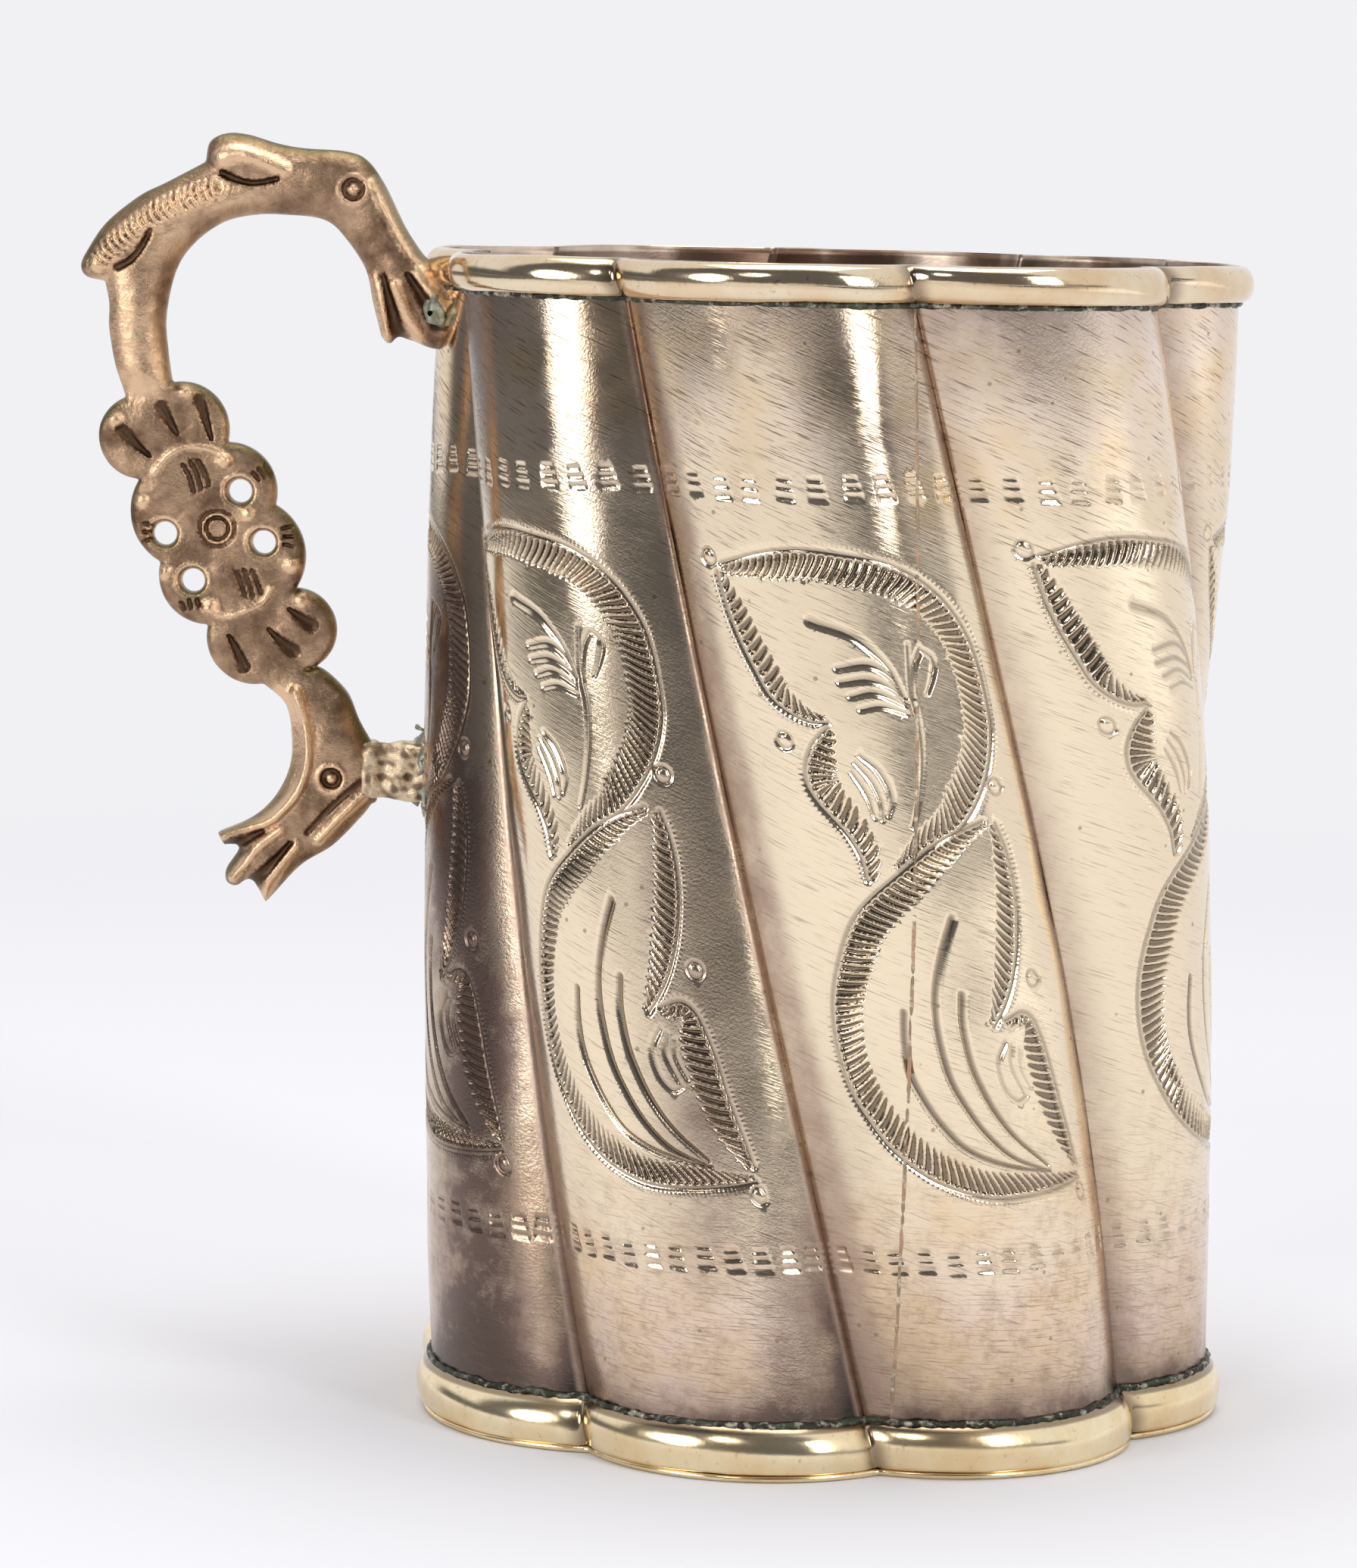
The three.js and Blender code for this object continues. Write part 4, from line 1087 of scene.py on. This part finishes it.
def lugMesh():
    # box with rounded edges, thinner at its waist, and pitted by two sizes of waves
    (x0, x1), (z0, z1) = lug["x"], lug["z"]
    wide = lug["gridHalf"]
    points, low = gridOf((x0 - 1, -wide, z0 - 1.2), (x1 + 1, wide, z1 + 1.2), lug["step"])
    middle = np.array([(x0 + x1) / 2, 0, (z0 + z1) / 2])
    reach = np.array([(x1 - x0) / 2, lug["halfWidth"], (z1 - z0) / 2]) - lug["round"]
    away = np.abs(points - middle) - reach
    field = np.linalg.norm(np.maximum(away, 0), axis=-1) + np.minimum(away.max(axis=-1), 0) - lug["round"]
    field += waves(points, lug["waves"])
    deep, place, spread = lug["waist"]
    field += deep * np.exp(-((points[..., 0] + place) / spread) ** 2)
    return netSurface(np.maximum(field, outsideWall(points)), low, lug["step"])


def jointMesh(settings):
    # lumpy ellipsoid of solder, ended just inside the wall's sheet
    centre, size = np.array(settings["centre"]), np.array(settings["size"])
    points, low = gridOf(centre - size - settings["margin"], centre + size + settings["margin"], settings["step"])
    field = (np.linalg.norm((points - centre) / size, axis=-1) - 1) * size.min()
    field += waves(points, settings["waves"])
    return netSurface(np.maximum(field, outsideWall(points)), low, settings["step"])


lugPoints, lugQuads = lugMesh()
makePiece("handle_peg", lugPoints, lugQuads, lugFinish, ["handle_lug"],
          {"raised": 0.25 - 0.5 * lumps(lugPoints, 1.0, 52), "film": np.zeros(len(lugPoints))})
for name, settings, node in (("bill_joint", billJoint, "bill_solder"), ("peg_joint", lugJoint, "lug_solder")):
    jointPoints, jointQuads = jointMesh(settings)
    makePiece(name, jointPoints, jointQuads, jointFinish, [node])
print("handle made")


def measuresOf(put, spot, ways):
    # the coordinates, and how far a place lies along each of the named ways
    parts = put("SeparateXYZ", {}, [spot])
    measures = {axis: parts[axis] for axis in "XYZ"}
    for key, way in ways.items():
        measures[key] = put("VectorMath", {"operation": "DOT_PRODUCT"}, [spot, way])["Value"]
    return measures


def zoneMask(put, measures, zones):
    # largest of the zones, each the product of eased ramps from low to high, and nothing on camera rays
    mask = 0.0
    for ramps in zones:
        zone = 1.0
        for key, low, high, top in ramps:
            ramp = put("MapRange", ease, [measures[key], low, high, 0, top])[0]
            zone = put("Math", times, [zone, ramp])[0]
        mask = put("Math", larger, [mask, zone])[0]
    seen = put("LightPath", {}, [])["Is Camera Ray"]
    return put("Math", {"operation": "SUBTRACT", "use_clamp": True}, [mask, seen])[0]


# A zone is a list of ramps: what is measured, where the ramp starts and ends, and its full value.
stage = {
    "floor": "E0E0E3",
    "far": "F1F1F4",
    "dim": "2C2B2C",
    "near": 0.22,
    "end": 0.5,
    "size": 6.0,
    "glow": 1.4,
    "ways": {"behind": (-0.42, 0.906, 0.0), "leftward": (-0.743, 0.669, 0.0)},
    "darkZones": [
        [("X", -0.5, -0.7, 0.8), ("behind", -0.02, 0.12, 1)],
        [("X", -0.58, -0.72, 0.75), ("leftward", -0.3, 0.05, 1)],
        [("X", -0.8, -1.5, 0.95), ("leftward", -0.3, 0.05, 1)],
        [("Y", -0.95, -1.5, 0.45), ("X", -0.15, 0.15, 1)],
        [("X", 0.36, 0.52, 1), ("Y", -0.6, -0.75, 1)],
    ],
    "brightZones": [[("X", 0.4, 0.6, 1), ("Y", -0.4, -0.2, 1), ("Y", 0.45, 0.1, 1)]],
}


def makeFloor():
    # pale table that turns into an even pale backdrop away from the mug; what the metal sees of it is dark
    # on the left, far in front and at the front right, and brighter on the right
    finish, put, spot, _ = newFinish("pale_table", scale=1.0)
    out = put("VectorMath", {"operation": "LENGTH"}, [spot])["Value"]
    away = put("MapRange", ease, [out, stage["near"], stage["end"]])[0]
    table = put("BsdfDiffuse", {}, {"Color": stage["floor"]})[0]
    measures = measuresOf(put, spot, stage["ways"])
    dark = zoneMask(put, measures, stage["darkZones"])
    colour = put("Mix", blend, {0: dark, 6: stage["far"], 7: stage["dim"]})[2]
    bright = zoneMask(put, measures, stage["brightZones"])
    strength = put("MapRange", {}, [bright, 0, 1, 1, stage["glow"]])[0]
    backdrop = put("Emission", {}, {"Color": colour, "Strength": strength})[0]
    both = put("MixShader", {}, [away, table, backdrop])[0]
    put("OutputMaterial", {}, {"Surface": both})
    mesh = bpy.data.meshes.new("table")
    half = stage["size"] / 2
    mesh.from_pydata([(-half, -half, 0), (half, -half, 0), (half, half, 0), (-half, half, 0)], [], [(0, 1, 2, 3)])
    mesh.materials.append(finish)
    floor = bpy.data.objects.new("table", mesh)
    bpy.context.scene.collection.objects.link(floor)


makeFloor()

studio = {
    "pale": "F1F1F4",  # white wall behind and beside the mug
    "dim": "66666A",  # dark room behind the camera
    "lamps": [  # name, shape, place, width, height, watts
        ("lamp_left", "ELLIPSE", (-0.80, -0.72, 0.37), 0.52, 0.52, 4.2),
        ("lamp_right", "RECTANGLE", (0.72, -0.74, 0.50), 0.22, 0.62, 3.2),
        ("lamp_high", "ELLIPSE", (-0.37, -1.10, 0.90), 0.26, 0.3, 1.5),
        ("lamp_above", "RECTANGLE", (0.0, 0.05, 1.3), 0.9, 0.8, 8.0),
    ],
    "aim": (0.0, 0.0, 0.06),
    "ways": {"ahead": (-0.276, -0.961, 0.0)},
    "horizon": [-0.8, -0.6, -0.025, 0.022],  # lower on the left: X from and to, and Z there
    "zones": [  # the room, and a low dark strip on its left and right
        [("ahead", 0.2, 0.36, 1), ("Z", 0.985, 0.88, 1), ("above", -0.012, 0.012, 1)],
        [("X", -0.76, -0.88, 1), ("Z", 0.3, 0.14, 1), ("above", -0.012, 0.012, 1)],
        [("ahead", -0.28, -0.14, 1), ("Z", 0.145, 0.095, 1), ("above", -0.012, 0.012, 1)],
    ],
}


def placed(right, top, back, place):
    turned = np.stack([right, top, back], axis=1)
    return Matrix(np.block([[turned, np.array(place)[:, None]], [np.array([[0, 0, 0, 1]])]]).tolist())


def makeLamps():
    for name, shape, place, width, tall, watts in studio["lamps"]:
        lamp = bpy.data.lights.new(name, "AREA")
        lamp.shape = shape
        lamp.size, lamp.size_y, lamp.energy = width, tall, watts
        light = bpy.data.objects.new(name, lamp)
        back = np.array(place) - np.array(studio["aim"])
        back /= np.linalg.norm(back)
        right = np.cross((0, 0, 1), back)
        right /= np.linalg.norm(right)
        light.matrix_world = placed(right, np.cross(back, right), back, place)
        bpy.context.scene.collection.objects.link(light)


def makeRoom():
    # a pale room that is dark behind the camera above the horizon, in the metal only
    world = bpy.data.worlds.new("studio")
    bpy.context.scene.world = world
    world.use_nodes = True
    world.node_tree.nodes.clear()
    put = partial(addNode, world.node_tree)
    toward = put("TexCoord", {}, [])["Generated"]
    measures = measuresOf(put, toward, studio["ways"])
    horizon = put("MapRange", ease, [measures["X"], *studio["horizon"]])[0]
    measures["above"] = put("Math", {"operation": "SUBTRACT"}, [measures["Z"], horizon])[0]
    dark = zoneMask(put, measures, studio["zones"])
    sky = put("Mix", blend, {0: dark, 6: studio["pale"], 7: studio["dim"]})[2]
    light = put("Background", {}, {"Color": sky, "Strength": 1.0})[0]
    put("OutputWorld", {}, {"Surface": light})


makeLamps()
makeRoom()
print("studio made")

view = {
    "place": (0.0, -500.0, 113.726),
    "pan": -1.504,
    "tilt": 6.601,
    "roll": 1.169,
    "focal": 7296.965,  # in pixels of an image 1792 wide and 2070 high
    "imageWidth": 1792,
    "sensor": 36.0,
}


def makeCamera():
    pan, tilt, roll = np.radians([view["pan"], view["tilt"], view["roll"]])
    ahead = np.array([np.sin(pan) * np.cos(tilt), np.cos(pan) * np.cos(tilt), -np.sin(tilt)])
    level = np.array([np.cos(pan), -np.sin(pan), 0])
    upright = np.cross(level, ahead)
    right = np.cos(roll) * level + np.sin(roll) * upright
    top = -np.sin(roll) * level + np.cos(roll) * upright
    lens = bpy.data.cameras.new("photo_view")
    lens.sensor_fit, lens.sensor_width = "HORIZONTAL", view["sensor"]
    lens.lens = view["focal"] / view["imageWidth"] * view["sensor"]
    lens.clip_start, lens.clip_end = 0.01, 50.0
    camera = bpy.data.objects.new("photo_view", lens)
    camera.matrix_world = placed(right, top, -ahead, np.array(view["place"]) * metre)
    bpy.context.scene.collection.objects.link(camera)
    bpy.context.scene.camera = camera


makeCamera()
bpy.context.scene.view_settings.view_transform = "Standard"
print("scene ready")
